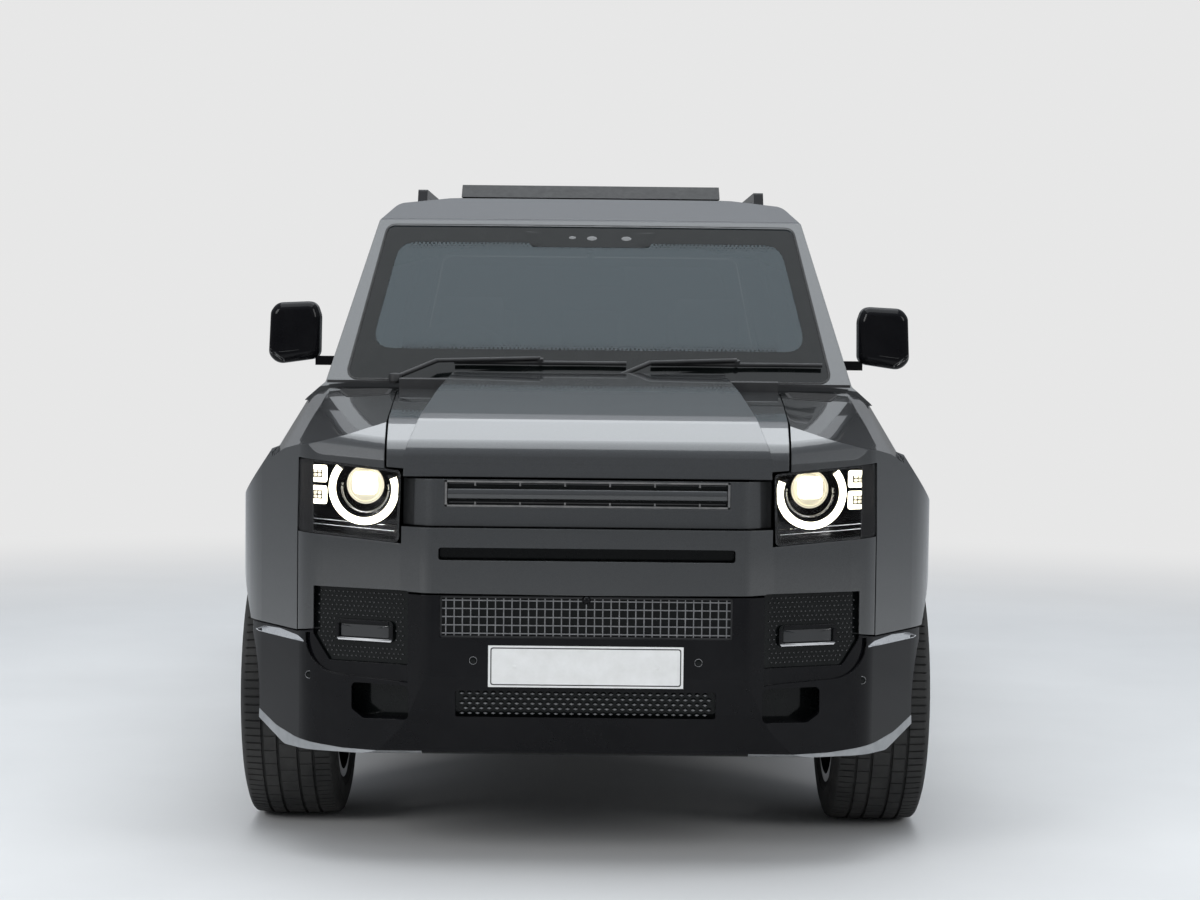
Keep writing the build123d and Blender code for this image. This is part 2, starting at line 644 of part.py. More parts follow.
def rectangle(x_low, x_high, z_low, z_high):
    """The outline of a rectangle seen from the front."""
    return [(x_low, z_low), (x_high, z_low), (x_high, z_high), (x_low, z_high)]


def lamp_bar(x, z, radius):
    """A long round bar along the vehicle, from which a lamp element is cut."""
    return rod((x, 0, z), (x, FRONT_ZONE, z), radius)


lamp_ring = lamp_element(cut(lamp_bar(RING_X, RING_Z, RING_OUT), lamp_bar(RING_X, RING_Z, RING_IN),
                             front_prism(RING_ENDS)), 24)
lamp_projector = lamp_element(lamp_bar(PROJECTOR_X, PROJECTOR_Z, PROJECTOR_RADIUS), 34)
lamp_cubes = [lamp_element(cut(front_prism(rectangle(*cube), 5),
                               front_prism(rectangle(*cube), 0, -CUBE_FRAME)), 24) for cube in CUBES]
headlamps = both_sides(joined(cut(lamp_box, lamp_space), lamp_ring, lamp_projector, *lamp_cubes))
headlamp_covers = both_sides(lamp_cover)

# Grilles and lamp pods, set in the openings
GRILLE_DEEP = 16.0


def inset_panel(outline, deep, gap=-SEAT_GAP):
    """A thin panel that fills an opening, a little behind the surface round it."""
    return common(cut(nose_hull(deep), nose_hull(deep + SHEET)), front_prism(outline, 6, gap))


def seen_region(depths, outline, radius=0.0, gap=0.0):
    """The part of a front-view outline between two depths behind the nose's surface."""
    return common(cut(nose_hull(depths[0]), nose_hull(depths[1])), front_prism(outline, radius, gap))


def rim_of(outline, depths, width, radius=6.0):
    """A frame inside the edge of an opening."""
    return cut(seen_region(depths, outline, radius, -SEAT_GAP), front_prism(outline, 0, -SEAT_GAP - width))


WIRE = 2.8
WIRE_PITCH = 22.0
WIRE_FRONT = 9.0
FRAME_WIDTH = 5.0
mesh_half, mesh_low, mesh_high = MESH[1][0], MESH[0][1], MESH[2][1]
with BuildPart() as wires:
    with BuildSketch(Plane.XZ.offset(-at(NOSE_FACE + WIRE_FRONT + WIRE))):
        with Locations((0, (mesh_low + mesh_high) / 2)):
            with GridLocations(WIRE_PITCH, 0, int(2 * mesh_half / WIRE_PITCH), 1):
                Rectangle(WIRE, mesh_high - mesh_low - FRAME_WIDTH)
            with GridLocations(0, WIRE_PITCH, 1, int((mesh_high - mesh_low) / WIRE_PITCH)):
                Rectangle(2 * mesh_half - FRAME_WIDTH, WIRE)
    extrude(amount=WIRE)

# The upper grille has a rounded body-colour bar between two thin ribs
upper_face = NOSE_FACE + NOSE_STEP + GRILLE_DEEP
UPPER_BAR = [(36, 1008), (33, 1020), (36, 1033), (upper_face + 3, 1037), (upper_face + 3, 1004)]
UPPER_HALF = 370.0
UPPER_RIBS = [996.0, 1046.0]
RIB_THICK = 3.0
RIB_DEEP = 8.0
upper_bar = prism_x(UPPER_BAR, [4, 8, 4, 0, 0], -UPPER_HALF, UPPER_HALF)
upper_ribs = [block(-UPPER_HALF, UPPER_HALF, upper_face - RIB_DEEP, upper_face + 1, height,
                    height + RIB_THICK) for height in UPPER_RIBS]
upper_frame = rim_of(GRILLE, (NOSE_STEP + 2, NOSE_STEP + GRILLE_DEEP + 1), FRAME_WIDTH)

# Raised lozenges on the lower grille, in staggered rows
LOZENGE = (13.0, 7.0)
LOZENGE_PITCH = (21.0, 14.0)
LOZENGE_HIGH = 5.0
comb_half, comb_low, comb_high = HONEYCOMB[1][0], HONEYCOMB[0][1], HONEYCOMB[2][1]
comb_rows = int((comb_high - comb_low) / LOZENGE_PITCH[1])
comb_count = int(2 * comb_half / LOZENGE_PITCH[0]) - 1
half_wide, half_tall = LOZENGE[0] / 2, LOZENGE[1] / 2
with BuildPart() as lozenges:
    with BuildSketch(Plane.XZ.offset(-at(FRONT_ZONE))):
        for row in range(comb_rows):
            shift = LOZENGE_PITCH[0] / 4 * (1 if row % 2 else -1)
            rise = (row - (comb_rows - 1) / 2) * LOZENGE_PITCH[1]
            with Locations((shift, (comb_low + comb_high) / 2 + rise)):
                with GridLocations(LOZENGE_PITCH[0], 0, comb_count, 1):
                    Polygon((-half_wide, 0), (0, -half_tall), (half_wide, 0), (0, half_tall))
    extrude(amount=FRONT_ZONE + 60)
comb_bumps = common(cut(nose_hull(GRILLE_DEEP - LOZENGE_HIGH), nose_hull(GRILLE_DEEP + 1)), lozenges.part)
grilles = joined(inset_panel(GRILLE, NOSE_STEP + GRILLE_DEEP), inset_panel(MESH, GRILLE_DEEP),
                 inset_panel(HONEYCOMB, GRILLE_DEEP), upper_frame, upper_bar, *upper_ribs,
                 rim_of(MESH, (6, GRILLE_DEEP + 1), FRAME_WIDTH), wires.part, comb_bumps)

# Lamp pods: a panel with a low rectangular lamp in a raised bezel
BAR_LAMP = rectangle(519, 678, 614, 671)
BEZEL = 9.0
bar_bezel = cut(seen_region((6, GRILLE_DEEP + 1), BAR_LAMP, 12), front_prism(BAR_LAMP, 4, -BEZEL))
bar_lens = seen_region((11, GRILLE_DEEP + 1), BAR_LAMP, 4, 1 - BEZEL)
fog_pods = both_sides(joined(inset_panel(POD, GRILLE_DEEP, SEAM - SEAT_GAP), bar_bezel, bar_lens))

# Silver strip under the bumper's corners, in line with the bumper's surface
skid_strip = cut(common(front_skin, both_sides(front_prism(STRIP, STRIP_RADII, -SEAT_GAP)),
                        both_sides(front_prism(EDGE, EDGE_RADII))),
                 both_sides(arch(FRONT_AXLE, ARCH_RADIUS, 480)))

# Bonnet, with a raised middle
SHUT_FRONT = 532.0
SHUT_REAR = 605.0
BONNET_SIDE = [(67, 1148), (230, 1212), (700, 1243), (BONNET_REAR, 1268)]
BONNET_BULGE = [(67, 1150), (230, 1222), (700, 1283), (BONNET_REAR, 1325)]
BONNET_RADII = [60, 250, 1500, 0]
BULGE = [(-500, 1100), (500, 1100), (425, 1340), (-425, 1340)]
BONNET_FRONT = 45.0


def bonnet_profile(top, shift=0.0):
    """Everything under a bonnet line, which can be moved in."""
    outline = [(BONNET_FRONT + shift, BONNET_EDGE - 20)] + [(d + shift, z - shift) for d, z in top]
    outline = outline + [(BONNET_REAR + shift, BONNET_EDGE - 20)]
    return prism_x(outline, [0] + BONNET_RADII + [0], -700, 700)


def bonnet_plan(gap):
    """The bonnet's outline from above, with its sides moved by a gap."""
    return prism_z([(-SHUT_FRONT - gap, -60), (SHUT_FRONT + gap, -60), (SHUT_REAR + gap, BONNET_REAR),
                    (-SHUT_REAR - gap, BONNET_REAR)], 0, BONNET_EDGE, 1400)


bonnet_top = joined(bonnet_profile(BONNET_SIDE),
                    common(bonnet_profile(BONNET_BULGE), prism_y(BULGE, 0, -60, 1400)))
bonnet = cut(common(cut(bonnet_top, bonnet_profile(BONNET_SIDE, PANEL_WALL)), bonnet_plan(0)),
             both_sides(front_prism(LAMP, 0, SHUT_GAP)))

# Front wings, solid from the skin to the engine bay. Sections as (x, height, radius) at two depths
WING_FRONT = [(518, 1197, 0), (786, 1118, 30), (831, 1095, 60), (868, 1063, 60), (898, 1023, 60),
              (920, 985, 60), (927, 500, 0), (518, 500, 0)]
WING_REAR = [(620, 1275, 0), (835, 1280, 30), (880, 1262, 60), (917, 1226, 60), (949, 1150, 60),
             (956, 985, 60), (948, 500, 0), (620, 500, 0)]
FRONT_FLARE = [(-200, 150), (-200, 1122), (1215 + 157, 1122), (1375 + 157, 600), (1345 + 157, 150)]


def wing_section(rows, depth):
    """One closed section of the wing."""
    with BuildSketch(Plane.XZ.offset(-at(depth))) as section:
        with BuildLine():
            FilletPolyline(*[(x, z) for x, z, _ in rows], radius=[r for _, _, r in rows], close=True)
        make_face()
    return section.sketch


wing_sections = [wing_section(WING_FRONT, 0), wing_section(WING_REAR, DOOR_FRONT - SHUT_GAP)]
with BuildPart() as wing_loft:
    loft(wing_sections, ruled=True)
ledge_block = block(BAY_HALF, 640, FRONT_ZONE, POST_FRONT, 395, 1090)
wing_body = joined(wing_loft.part, common(flare(FRONT_FLARE, [0, 60, 60, 60, 0], HALF_FLARE),
                                          block(500, 1080, -100, DOOR_FRONT - SHUT_GAP, 100, 1300)),
                   block(518, 927, FRONT_ZONE, DOOR_FRONT - SHUT_GAP, 395, 700))
nose_cap = prism_z(nose_points, nose_radii, 300, 1400)
LAMP_DRIFT = (117 / 290, 26 / 290)
roll = slanted_prism_x([(30, 300), (30, 1060), (67, 1152), (230, 1216), (700, 1290), (BONNET_REAR, 1330),
                        (1700, 1330), (1700, 300)], [0, 0, 60, 250, 0, 0, 0, 0], 499, 1100, LAMP_DRIFT)
wing_region_low = [(480, 250), (LAMP_OUT, 250), (LAMP_OUT, 906),
                   (789.3, 1106.3), (499, 1080.3), (480, 1080.3)]
wing_left = cut(joined(common(wing_body, nose_cap, roll), ledge_block),
                common(bonnet_plan(SHUT_GAP), joined(block(-700, 700, -60, FRONT_ZONE, BONNET_EDGE, 1400),
                                                     block(-700, 700, -60, BONNET_REAR + 10, 1090, 1400))),
                block(400, 1100, POST_FOOT - SEAT_GAP, 1600, BELT - POST_DROP - SEAT_GAP, 1400),
                front_prism(wing_region_low), block(400, 1100, -60, FRONT_AXLE, 200, SPLIT - 10),
                block(400, 1100, -60, 1500, 200, 395), arch(FRONT_AXLE, ARCH_RADIUS, 480),
                block(400, A_POST_OUT + 4, POST_FRONT, 1600, 200, 1400))
STOP_X = 512.0
STOP_RADIUS = 11.0
STOP_DEPTHS = [520, 1180]
bonnet_stops = [common(post(STOP_X, depth, STOP_RADIUS, 1060, 1300),
                       bonnet_profile(BONNET_SIDE, PANEL_WALL + SEAT_GAP)) for depth in STOP_DEPTHS]
front_wings = both_sides(joined(wing_left, *bonnet_stops))

# Scuttle panel under the windscreen, with the wipers on it
SCUTTLE_FRONT = BONNET_REAR + SHUT_GAP
SCUTTLE_TOP = 1291.7
SCUTTLE_REAR = POST_FOOT - SEAT_GAP
scuttle_panel = joined(
    prism_x([(SCUTTLE_FRONT, 1236), (SCUTTLE_FRONT, 1298), (SCUTTLE_FRONT + 12, 1302), (1338, SCUTTLE_TOP),
             (SCUTTLE_REAR, SCUTTLE_TOP), (SCUTTLE_REAR, 1236)], 0, -SHUT_REAR, SHUT_REAR),
    block(-840, 840, 1345, SCUTTLE_REAR, 1283, SCUTTLE_TOP))


def glass_depth(x, z, ahead):
    """The depth of a place a little ahead of the windscreen's surface."""
    return SCREEN_BASE - 52 + (z - BELT) * RAKE + 52 * (x / 900) ** 2 - ahead


# Wipers as (pivot across, middle of the blade across, height of the blade)
WIPERS = [(-620, -157, 1357), (68, 478, 1357)]
BLADE = 556.0
BLADE_RADIUS = 7.0
PIVOT_DEPTH = 1322.0
wiper_parts = []
for pivot_x, clamp_x, blade_z in WIPERS:
    knee = (pivot_x + 130, glass_depth(pivot_x + 130, blade_z, 46), blade_z)
    clamp = (clamp_x, glass_depth(clamp_x, blade_z + 10, 30), blade_z + 10)
    ends = [(clamp_x + step, glass_depth(clamp_x + step, blade_z - 4, 14), blade_z - 4)
            for step in (-BLADE / 2, 0, BLADE / 2)]
    wiper_parts.append(joined(
        post(pivot_x, PIVOT_DEPTH, 16, SCUTTLE_TOP - 6, SCUTTLE_TOP + 18),
        rod((pivot_x, PIVOT_DEPTH, SCUTTLE_TOP + 10), knee, 8), rod(knee, clamp, 7),
        rod(ends[0], ends[1], BLADE_RADIUS), rod(ends[1], ends[2], BLADE_RADIUS),
        rod(clamp, ends[1], 10)))
wipers = cut(joined(*wiper_parts), scuttle_panel)

# Underbody: floor, bulkhead, rails, aprons and wheelhouses
FLOOR_HALF = 780.0 - SEAT_GAP
FLOOR_SHEET = 24.0
HEEL = 3290.0
BULKHEAD = 1440.0
RAIL_LOW = 440.0
RAIL_HIGH = 530.0
HOUSE_IN = 640.0
HOUSE_SHEET = 12.0
LOAD_REAR = TAIL - 90
GATE_SEAL_HALF = 560.0
SEAT_HALF = 650.0
SEAT_WELL = 12.0
LOAD_HALF = 838.0
SEAT_WELL_REAR = 3470.0
beam_seat = cut(nose_seat, nose_deep)
front_beams = common(beam_seat, joined(block(-900, 900, -60, BEAM_REAR, 508, 556),
                                       block(-780, 780, -60, FRONT_ZONE, 762, 838)))
step_beam = common(cut(nose_hull(NOSE_STEP + PANEL_WALL + SEAT_GAP), nose_hull(PANEL_WALL + BEAM_DEPTH + 4)),
                   block(-480, 480, -60, 200, LEDGE + SEAM, 980))
POST_DEPTH = 106.0
beam_posts = both_sides(block(RAIL_IN, RAIL_OUT, POST_DEPTH, POST_DEPTH + 14, RAIL_LOW, 980))
front_rails = both_sides(block(RAIL_IN, RAIL_OUT, POST_DEPTH + 10, BULKHEAD + 10, RAIL_LOW, RAIL_HIGH))
APRON_LOW = 500.0
APRON_TOP = 1090.0
DAMPER_SEAT = 790.0
apron_side = block(RAIL_OUT - SHEET, BAY_HALF - SEAT_GAP, FRONT_ZONE, BULKHEAD + 10, APRON_LOW, APRON_TOP)
damper_tower = block(RAIL_OUT, 600, 744, 816, DAMPER_SEAT, DAMPER_SEAT + 56)
aprons = both_sides(cut(joined(apron_side, damper_tower), block(420, 500, 770, 920, RAIL_HIGH, 620)))
arm_brackets = both_sides(block(420, RAIL_OUT, FRONT_AXLE - 45, FRONT_AXLE + 45, RAIL_HIGH - 1, 580))
bulkhead = block(-A_POST_IN + SEAT_GAP, A_POST_IN - SEAT_GAP, BULKHEAD, BULKHEAD + 30,
                 FLOOR_TOP - FLOOR_SHEET, BELT - 60 - SEAT_GAP)
rear_rails = both_sides(block(500, 570, HEEL + 5, LOAD_REAR, LOAD_FLOOR - 90, LOAD_FLOOR - 10))
wheelhouse = cut(joined(drum((REAR_AXLE, AXLE_Z), ARCH_RADIUS + HOUSE_SHEET, HOUSE_IN, 868),
                        block(HOUSE_IN, HOUSE_IN + HOUSE_SHEET, REAR_AXLE - 440, REAR_AXLE + 440, 560,
                              LOAD_FLOOR)),
                 drum((REAR_AXLE, AXLE_Z), ARCH_RADIUS, HOUSE_IN + HOUSE_SHEET, 900),
                 block(500, 1000, 3000, 5000, -200, 560))
underbody = cut(joined(
    block(-FLOOR_HALF, FLOOR_HALF, BULKHEAD, HEEL + 20, FLOOR_TOP - FLOOR_SHEET, FLOOR_TOP),
    block(-FLOOR_HALF, FLOOR_HALF, HEEL, HEEL + 20, FLOOR_TOP - FLOOR_SHEET, LOAD_FLOOR),
    block(-HOUSE_IN - 4, HOUSE_IN + 4, HEEL, LOAD_REAR, LOAD_FLOOR - FLOOR_SHEET, LOAD_FLOOR),
    both_sides(block(HOUSE_IN, LOAD_HALF, HEEL, REAR_AXLE - 400, LOAD_FLOOR - FLOOR_SHEET, LOAD_FLOOR)),
    both_sides(block(HOUSE_IN, LOAD_HALF, REAR_AXLE + 400, LOAD_REAR, LOAD_FLOOR - FLOOR_SHEET, LOAD_FLOOR)),
    bulkhead, front_rails, aprons, arm_brackets, front_beams, step_beam, beam_posts, rear_rails,
    both_sides(wheelhouse),
    common(block(-GATE_SEAL_HALF, GATE_SEAL_HALF, LOAD_REAR - 2, TAIL, LOAD_FLOOR - FLOOR_SHEET, LOAD_FLOOR),
           tail_prism(TAIL, 1240, 12, 640, PILLAR_WALL + PILLAR_WALL * 0.6 + SEAT_GAP))), body_shell,
    block(-SEAT_HALF - SHUT_GAP, SEAT_HALF + SHUT_GAP, HEEL - 1, SEAT_WELL_REAR, LOAD_FLOOR - SEAT_WELL, 800))

# Front suspension. The steered knuckle turns about an upright pin
PIN_X = 795.0
PIN_RADIUS = 45.0
ARM_LOW = 235.0
ARM_HIGH = 270.0
TOP_ARM = 548.0
STEER_ARM = 110.0
RACK_Z = 300.0
ROD_RADIUS = 13.0
DAMPER_X = 560.0
DAMPER_AHEAD = 64.0
HUB_FACE = 860.0
KNUCKLE_GAP = 5.0


def lower_arm(axle):
    """A flat arm from the subframe to the pin's foot."""
    return joined(block(380, PIN_X, axle - 40, axle + 40, ARM_LOW, ARM_HIGH),
                  post(PIN_X, axle, PIN_RADIUS - 5, ARM_LOW, ARM_HIGH),
                  block(530, 590, axle - DAMPER_AHEAD - 26, axle, ARM_LOW, ARM_HIGH))


def damper(axle, top):
    """A spring strut that stands on the lower arm."""
    return joined(post(DAMPER_X, axle - DAMPER_AHEAD, 24, ARM_HIGH - 1, top),
                  post(DAMPER_X, axle - DAMPER_AHEAD, 32, 480, top))


def half_shaft(axle, end):
    """A drive shaft from the differential outwards, with a boot at each end."""
    return joined(drum((axle, AXLE_Z), 17, 90, end), drum((axle, AXLE_Z), 36, 110, 190),
                  drum((axle, AXLE_Z), 34, end - 90, end - 4))


def subframe(axle, high):
    """The cross-member between the lower arms, with its rails."""
    return joined(block(-400, 400, axle - 130, axle + 130, ARM_LOW, ARM_HIGH + 10),
                  both_sides(block(340, 400, axle - 200, axle - 120, ARM_LOW, high)),
                  both_sides(block(340, 400, axle + 120, axle + 200, ARM_LOW, high)),
                  drum((axle, AXLE_Z), 96, -120, 120), block(-60, 60, axle - 60, axle + 60, ARM_LOW, AXLE_Z))


upper_arm = joined(block(RAIL_OUT + SEAT_GAP, PIN_X, FRONT_AXLE - 38, FRONT_AXLE + 38, TOP_ARM, TOP_ARM + 26),
                   post(PIN_X, FRONT_AXLE, PIN_RADIUS - 5, TOP_ARM, TOP_ARM + 26))
rack_depth = FRONT_AXLE + STEER_ARM
rack_tube = cut(joined(rod((-330, rack_depth, RACK_Z), (330, rack_depth, RACK_Z), 26),
                       both_sides(block(180, 220, rack_depth - 20, rack_depth + 20, ARM_HIGH, RACK_Z))),
                rod((-400, rack_depth, RACK_Z), (400, rack_depth, RACK_Z), ROD_RADIUS + SEAT_GAP))
subframe_top = block(340, 480, FRONT_AXLE + 150, FRONT_AXLE + 200, ARM_LOW, RAIL_LOW - SEAT_GAP)
front_axle = joined(
    subframe(FRONT_AXLE, ARM_HIGH + 20), both_sides(subframe_top),
    both_sides(block(340, 480, FRONT_AXLE - 200, FRONT_AXLE - 150, ARM_LOW, RAIL_LOW - SEAT_GAP)),
    both_sides(lower_arm(FRONT_AXLE)), both_sides(damper(FRONT_AXLE, DAMPER_SEAT - SEAT_GAP)),
    both_sides(half_shaft(FRONT_AXLE, PIN_X - PIN_RADIUS - KNUCKLE_GAP)), rack_tube, both_sides(upper_arm))


def caliper(axle, side):
    """A brake caliper round the edge of the disc, behind or ahead of the axle."""
    hub = (axle, AXLE_Z)
    whole_round = drum(hub, DISC_RADIUS + 52, 845, 916)
    ring = cut(whole_round, drum(hub, DISC_RADIUS + 6, 840, 920))
    cheeks = cut(whole_round, drum(hub, 112, 840, 920),
                 block(HUB_FACE + 2, 902, axle - 300, axle + 300, 0, 900))
    middle = axle + side * 190
    return common(joined(ring, cheeks), block(800, 960, middle - 100, middle + 60, AXLE_Z - 95, AXLE_Z + 95))


# The steered knuckle, as a left-hand piece
knuckle_left = joined(
    post(PIN_X, FRONT_AXLE, PIN_RADIUS, ARM_HIGH + SEAT_GAP, TOP_ARM - SEAT_GAP),
    drum((FRONT_AXLE, AXLE_Z), 62, PIN_X, HUB_FACE), drum((FRONT_AXLE, AXLE_Z), 20, HUB_FACE, HUB_FACE + 40),
    block(PIN_X - 44, PIN_X - 8, FRONT_AXLE, FRONT_AXLE + STEER_ARM, RACK_Z + 20, RACK_Z + 46),
    post(PIN_X - 25, FRONT_AXLE + STEER_ARM, 20, RACK_Z + 20, RACK_Z + 46),
    block(PIN_X, 858, FRONT_AXLE + 20, FRONT_AXLE + 130, AXLE_Z - 40, AXLE_Z + 40), caliper(FRONT_AXLE, 1))
tie_rods = joined(rod((-PIN_X + 40, rack_depth, RACK_Z), (PIN_X - 40, rack_depth, RACK_Z), ROD_RADIUS),
                  both_sides(post(PIN_X - 25, rack_depth, 18, RACK_Z - 15, RACK_Z + 15)))

# Rear suspension, with its hub carriers
rear_arms = joined(
    block(360, PIN_X, REAR_AXLE - 40, REAR_AXLE + 40, ARM_LOW, ARM_HIGH),
    block(360, PIN_X, REAR_AXLE - 30, REAR_AXLE + 30, TOP_ARM - 30, TOP_ARM),
    block(360, 400, REAR_AXLE - 60, REAR_AXLE + 60, ARM_LOW, TOP_ARM),
    block(530, 590, REAR_AXLE - DAMPER_AHEAD - 26, REAR_AXLE, ARM_LOW, ARM_HIGH),
    block(770, 830, REAR_AXLE - 40, REAR_AXLE + 40, ARM_LOW, TOP_ARM),
    drum((REAR_AXLE, AXLE_Z), 62, 770, HUB_FACE), drum((REAR_AXLE, AXLE_Z), 20, HUB_FACE, HUB_FACE + 40),
    block(PIN_X, 858, REAR_AXLE - 130, REAR_AXLE - 20, AXLE_Z - 40, AXLE_Z + 40), caliper(REAR_AXLE, -1),
    damper(REAR_AXLE, LOAD_FLOOR - 90 - SEAT_GAP), half_shaft(REAR_AXLE, 772),
    block(480, 560, REAR_AXLE + 120, REAR_AXLE + 200, ARM_LOW, LOAD_FLOOR - 90 - SEAT_GAP),
    block(340, 560, REAR_AXLE + 120, REAR_AXLE + 200, ARM_LOW, ARM_HIGH + 20))
rear_axle = joined(subframe(REAR_AXLE, ARM_HIGH + 20), both_sides(rear_arms))


# Wheels. A wheel is made round a centre and an outward direction
def tyre(centre, outward):
    """A road tyre."""
    half = TYRE_WIDTH / 2
    bead = RIM_WIDTH / 2 - SEAT_GAP
    rows = [(bead, RIM_RADIUS + SEAT_GAP, 0), (bead, RIM_RADIUS + 12, 4), (half - 3, RIM_RADIUS + 26, 12),
            (half, RIM_RADIUS + 62, 60),
            (half - 9, TYRE_RADIUS - 9, 14), (half - 40, TYRE_RADIUS, 40)]
    section = Plane(origin=centre, x_dir=outward, z_dir=outward.cross(Vector(0, 0, 1)))
    outline, corners = full_outline(rows)
    with BuildPart() as solid:
        with BuildSketch(section):
            with BuildLine():
                FilletPolyline(*outline, radius=corners, close=True)
            make_face()
        revolve(axis=Axis(centre, outward))
    return solid.part


def ring_on(centre, outward, low, high, radius, bore=0.0):
    """A round plate or ring between two places along the wheel's axis."""
    with BuildPart() as solid:
        with BuildSketch(Plane(origin=centre + outward * low, x_dir=(0, 0, 1), z_dir=outward)):
            Circle(radius)
            if bore:
                Circle(bore, mode=Mode.SUBTRACT)
        extrude(amount=high - low)
    return solid.part


SPOKES = 5
SPOKE_SPLIT = 11.0
SPOKE_AT_HUB = 22.0
SPOKE_AT_RIM = 38.0
HUB_RADIUS = 78.0
# The spokes' dished outline, as (place along the axle, radius)
DISH = [(74, 1), (96, 1), (98, HUB_RADIUS), (110, 205), (110, 245), (102, 292), (72, 292), (80, 180),
        (74, HUB_RADIUS)]
DISH_RADII = [0, 0, 60, 60, 40, 0, 0, 60, 60]
hub_in = HUB_FACE + SEAT_GAP - HALF_TRACK
disc_in = 868 - HALF_TRACK
disc_out = 896 - HALF_TRACK
cap_out = 956 - HALF_TRACK


def rim(centre, outward, disc=True):
    """A wheel rim with split spokes, its hub and its brake disc."""
    half = RIM_WIDTH / 2
    with BuildPart() as spokes:
        with BuildSketch(Plane(origin=centre + outward * 60, x_dir=(0, 0, 1), z_dir=outward)):
            for turn in (-SPOKE_SPLIT, SPOKE_SPLIT):
                with PolarLocations(0, SPOKES, start_angle=turn):
                    Polygon((HUB_RADIUS - 20, -SPOKE_AT_HUB / 2), (RIM_RADIUS - 4, -SPOKE_AT_RIM / 2),
                            (RIM_RADIUS - 4, SPOKE_AT_RIM / 2), (HUB_RADIUS - 20, SPOKE_AT_HUB / 2),
                            align=None)
        extrude(amount=60)
    with BuildPart() as dish:
        with BuildSketch(Plane(origin=centre, x_dir=outward, z_dir=outward.cross(Vector(0, 0, 1)))):
            with BuildLine():
                FilletPolyline(*DISH, radius=DISH_RADII, close=True)
            make_face()
        revolve(axis=Axis(centre, outward))
    parts = [common(spokes.part, dish.part),
             ring_on(centre, outward, -half, half, RIM_RADIUS, RIM_RADIUS - 14),
             ring_on(centre, outward, -half - 7, -half, RIM_RADIUS + 10, RIM_RADIUS - 14),
             ring_on(centre, outward, half, half + 7, RIM_RADIUS + 10, RIM_RADIUS - 14),
             ring_on(centre, outward, disc_out, cap_out, HUB_RADIUS)]
    if disc:
        parts = parts + [ring_on(centre, outward, disc_in, disc_out, DISC_RADIUS),
                         ring_on(centre, outward, hub_in, disc_out + 1, HUB_RADIUS)]
        stub_bore = ring_on(centre, outward, hub_in - 1, HUB_FACE + 41 - HALF_TRACK, 20 + SEAT_GAP)
        return cut(joined(*parts), stub_bore)
    return joined(*parts)


OUT = Vector(1, 0, 0)
front_centre = Vector(HALF_TRACK, at(FRONT_AXLE), AXLE_Z)
rear_centre = Vector(HALF_TRACK, at(REAR_AXLE), AXLE_Z)
SPARE_X = -28.0
SPARE_Z = 1062.0
SPARE_WIDTH = TYRE_WIDTH
spare_centre = Vector(SPARE_X, at(LENGTH - SPARE_WIDTH / 2), SPARE_Z)
BACK = Vector(0, 1, 0)
tyre_front = tyre(front_centre, OUT)
tyre_rear = tyre(rear_centre, OUT)
rim_front = rim(front_centre, OUT)
rim_rear = rim(rear_centre, OUT)
spare_tyre = tyre(spare_centre, BACK)
carrier_low = TAIL - 60 - spare_centre.Y + NOSE_Y
spare_carrier = ring_on(spare_centre, BACK, carrier_low, disc_out + 1, HUB_RADIUS)
spare_rim = cut(joined(rim(spare_centre, BACK, False), spare_carrier), tailgate)

# Steering wheel and its column
WHEEL_TILT = 25.0
steer_axis = Vector(0, math.cos(math.radians(WHEEL_TILT)), math.sin(math.radians(WHEEL_TILT)))
steer_centre = Vector(-445, at(1950), 1310)
STEER_RADIUS = 178.0
STEER_GRIP = 15.0
with BuildPart() as steering_wheel:
    with BuildSketch(Plane(origin=steer_centre, x_dir=steer_axis, z_dir=(-1, 0, 0))):
        with Locations((0, STEER_RADIUS)):
            Circle(STEER_GRIP)
    revolve(axis=Axis(steer_centre, steer_axis))
    with BuildSketch(Plane(origin=steer_centre - steer_axis * 18, x_dir=(1, 0, 0), z_dir=steer_axis)):
        Circle(62)
        Rectangle(2 * STEER_RADIUS, 34)
        with Locations((0, -STEER_RADIUS / 2)):
            Rectangle(40, STEER_RADIUS)
    extrude(amount=26)

# Inside: dashboard, seats
with BuildPart() as column:
    column_top = steer_centre - steer_axis * (18 + SEAT_GAP)
    with BuildSketch(Plane(origin=column_top, x_dir=(1, 0, 0), z_dir=-steer_axis)):
        Circle(38)
    extrude(amount=230)
dash_back = BULKHEAD + 30 + SEAT_GAP
dash = prism_x([(dash_back, 940), (dash_back, 1232), (1560, 1268), (1790, 1262), (1838, 1190), (1790, 1010),
                (1690, 940)], [0, 0, 60, 30, 20, 60, 0], -848, 848)
console = block(-140, 140, 1700, 2720, FLOOR_TOP + SEAT_GAP, 790)
dash_front = common(dash, block(-A_POST_IN + SHUT_GAP, A_POST_IN - SHUT_GAP, 1300, DOOR_FRONT + SHUT_GAP,
                                600, 1400))
dash_rear = common(dash, behind_doors, block(-900, 900, DOOR_FRONT, 1900, 600, 1400))
screen = prism_x([(1752, 1180), (1764, 1180), (1752, 1345), (1740, 1345)], 4, -150, 150)
binnacle = prism_x([(1600, 1200), (1600, 1290), (1640, 1318), (1735, 1322), (1748, 1296), (1748, 1200)],
                   [0, 30, 20, 10, 8, 0], -610, -280)
dashboard = joined(dash_rear, dash_front, column.part, console, screen, binnacle)


